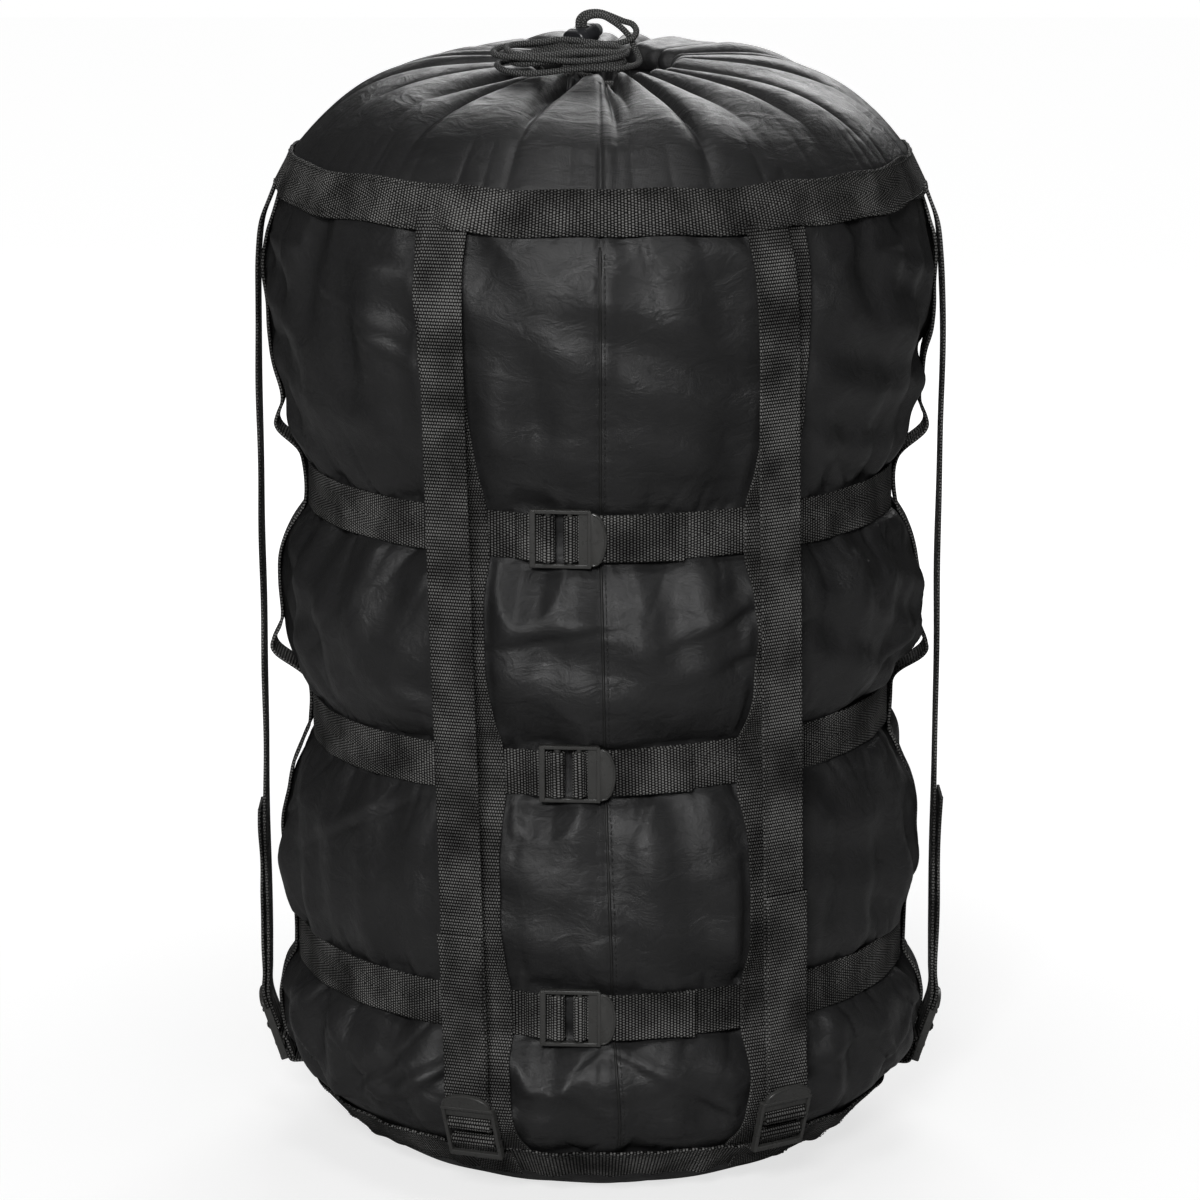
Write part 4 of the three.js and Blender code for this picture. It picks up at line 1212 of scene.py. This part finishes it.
for order, (name, (r, z, lock_turn)) in enumerate(GIRTHS.items()):
    a = math.radians(lock_turn - 90)
    out, right = np.array([math.cos(a), math.sin(a)]), np.array([-math.sin(a), math.cos(a)])

    def plan(points, out=out, right=right, r=r):
        p = np.atleast_2d(np.array(points, float))
        return out * (r + 4.2 + p[:, 1:]) + right * (p[:, :1] - LOCK_MID_U)

    strap_r = r + LAYER_GAP + WEB_T / 2
    turns_round = round_waist(strap_r, lock_turn - np.linspace(10, 345, 90))
    ring_line = np.vstack([plan(HOOK[::-1]), turns_round, plan([(TAB_END, -1.7), (8, -1.7)])])
    height_at = waist_height(name, z)
    ring_path = spline(ring_line, 1.3)[::-1]
    split = len(ring_path) - 1 - int(np.argmax((ring_path[::-1] @ right) < HOOK_SPLIT_U - LOCK_MID_U))
    wave = ripple(30, 0.3, 100 + order, edge=0.7)
    piece = flat_ribbon(f"girth_webbing_{name}", ring_path[:split + 1], height_at, HERRINGBONE, wave)
    settle(piece, "sack", (f"girth_strap_{name}",))
    so_far = distances(ring_path[:split + 1])[-1]
    piece = flat_ribbon(f"girth_hook_webbing_{name}", ring_path[split:], height_at, HERRINGBONE,
                        from_further(wave, so_far))
    bend = [metres((*point, z)) for point in plan(HOOK_BEND)]
    settle(piece, between=("sack", f"girth_ladder_lock_{name}", *bend))

    tail_r = strap_r + WEB_T + 2.2
    tail_turns = lock_turn + 13 + (math.degrees(30 / tail_r) - 2) * np.array([0.15, 0.6, 1])
    tail_line = spline(np.vstack([plan([*FOLD, (TAB_END, 0.2)]), round_waist(tail_r, tail_turns)]), 1.2)
    piece = flat_ribbon(f"girth_tail_webbing_{name}", tail_line, height_at, WEBBING,
                        ripple(34, 0.45, 120 + order, edge=1.0), flared_end(tail_line, 0.06, 7))
    stretch = [metres((*point, z)) for point in plan([(TAB_U + 4, 0), (TAB_U + 24, 0)])]
    settle(piece, replaces=(f"girth_tail_{name}",),
           between=(f"girth_ladder_lock_{name}", f"girth_tail_{name}", *stretch))
    lock_at(f"girth_lock_{name}", np.append(plan([(0, 0)])[0], z), np.append(right, 0), np.append(out, 0),
            f"girth_ladder_lock_{name}")


# ---------- the cord lock ----------
def oval_rod(name, rings, material):
    """A rod of oval section along the lock's axis: rings of (distance along it, width, thickness)."""
    sides = 64
    a = np.linspace(0, 2 * math.pi, sides, endpoint=False)
    loops = []
    for d, width, thick in rings:
        straight = max(width / 2 - thick / 2, 0)
        x = thick / 2 * np.cos(a)
        y = thick / 2 * np.sin(a) + np.sign(np.sin(a)) * straight * np.minimum(1, abs(np.sin(a)) * 6)
        loops.append(LOCK_CENTRE + CORD_DIR * x[:, None] + STRAND_DIR * y[:, None] + BARREL_DIR * d)
    return make_piece(name, np.concatenate(loops), capped_faces(len(rings), sides), material)


def cut_slot(piece, low, high):
    """Cuts the passage for the two strands through a part of the lock."""
    bm = bmesh.new()
    half_w, half_h, corner = STRAND_OFF + CORD_R + 0.75, (high - low) / 2, 1.4
    outline = []
    for b in np.linspace(0, 2 * math.pi, 32, endpoint=False) + 0.03:
        y = corner * math.cos(b) + math.copysign(half_w - corner, math.cos(b))
        d = corner * math.sin(b) + math.copysign(half_h - corner, math.sin(b))
        outline.append((y, d + (low + high) / 2))
    ends = [[bm.verts.new(metres(LOCK_CENTRE + STRAND_DIR * y + BARREL_DIR * d + CORD_DIR * x))
             for y, d in outline] for x in (-12, 12)]
    bm.faces.new(ends[0][::-1])
    bm.faces.new(ends[1])
    for k in range(32):
        m = (k + 1) % 32
        bm.faces.new((ends[0][k], ends[0][m], ends[1][m], ends[1][k]))
    bmesh.ops.recalc_face_normals(bm, faces=bm.faces)
    mesh = bpy.data.meshes.new("cutter")
    bm.to_mesh(mesh)
    bm.free()
    cutter = bpy.data.objects.new("cutter", mesh)
    scene.collection.objects.link(cutter)
    cut = piece.modifiers.new("slot", "BOOLEAN")
    cut.operation, cut.object, cut.solver = "DIFFERENCE", cutter, "EXACT"
    shaped = bpy.data.meshes.new_from_object(piece.evaluated_get(bpy.context.evaluated_depsgraph_get()))
    piece.modifiers.clear()
    piece.data = shaped
    bpy.data.objects.remove(cutter)
    smooth_by_angle(piece, 30)


barrel_rings = [(-6.5, 13.2, 8.7), (-6.5, 14.5, 10.0), (-6.1, 15.0, 10.5), (-4.6, 15.0, 10.5),
                (-4.2, 14.5, 10.0), (4.6, 14.5, 10.0), (5.0, 15.0, 10.5), (6.0, 15.0, 10.5), (6.4, 14.6, 10.1),
                (8.2, 14.5, 10.0), (9.0, 14.0, 9.5), (9.5, 12.8, 8.3), (9.5, 11.4, 6.9), (9.0, 10.9, 6.4)]
barrel = oval_rod("cord_lock_body", barrel_rings, LOCK_BODY)
cut_slot(barrel, -2.3, 2.3)
settle(barrel, "cord_lock", ("cord_lock_barrel",))
button_rings = [(-12, 9.0, 4.8), (-11.9, 10.6, 6.3), (-11.5, 11.4, 7.1), (-10.8, 11.6, 7.3), (-9.6, 11.6, 7.3),
                (-9.3, 11.2, 6.9), (-8.7, 11.2, 6.9), (-8.4, 11.6, 7.3), (4, 11.6, 7.3)]
button = oval_rod("cord_lock_button", button_rings, LOCK_BUTTON)
cut_slot(button, -4.3, 2.3)
settle(button, "cord_lock_plunger", ("cord_lock_plunger",))

SPRING_R, SPRING_WIRE_R, SPRING_TURNS = 2.8, 0.3, 2
spring_a = np.linspace(0, SPRING_TURNS * 2 * math.pi, 90)
spring_spokes = CORD_DIR * np.cos(spring_a)[:, None] + STRAND_DIR * np.sin(spring_a)[:, None]
spring_path = LOCK_CENTRE + BARREL_DIR * np.linspace(4.65, 7.65, 90)[:, None] + SPRING_R * spring_spokes
spring = tube("cord_lock_coil", spring_path, SPRING_WIRE_R, STEEL, sides=8)
spring_ends = [metres(LOCK_CENTRE + BARREL_DIR * reach) for reach in (8.0, 4.4)]
settle(spring, replaces=("cord_lock_spring",),
       between=("cord_lock", "cord_lock_plunger", *spring_ends))

hem_turn = np.radians(np.linspace(-4, -31 + 360, 400))
hem_cord = tube("drawstring_hidden_run", around(HEM["r"], hem_turn, HEM["z"] - 4), CORD_R, CORD, relief=braided)
settle(hem_cord, "top", ("drawstring_in_hem",))


# ---------- floor ----------
floor_mesh = bpy.data.meshes.new("floor")
floor_mesh.from_pydata([(-6, -6, 0), (6, -6, 0), (6, 6, 0), (-6, 6, 0)], [], [(0, 1, 2, 3)])
floor_mesh.materials.append(floor_look("floor"))
floor = bpy.data.objects.new("floor", floor_mesh)
scene.collection.objects.link(floor)
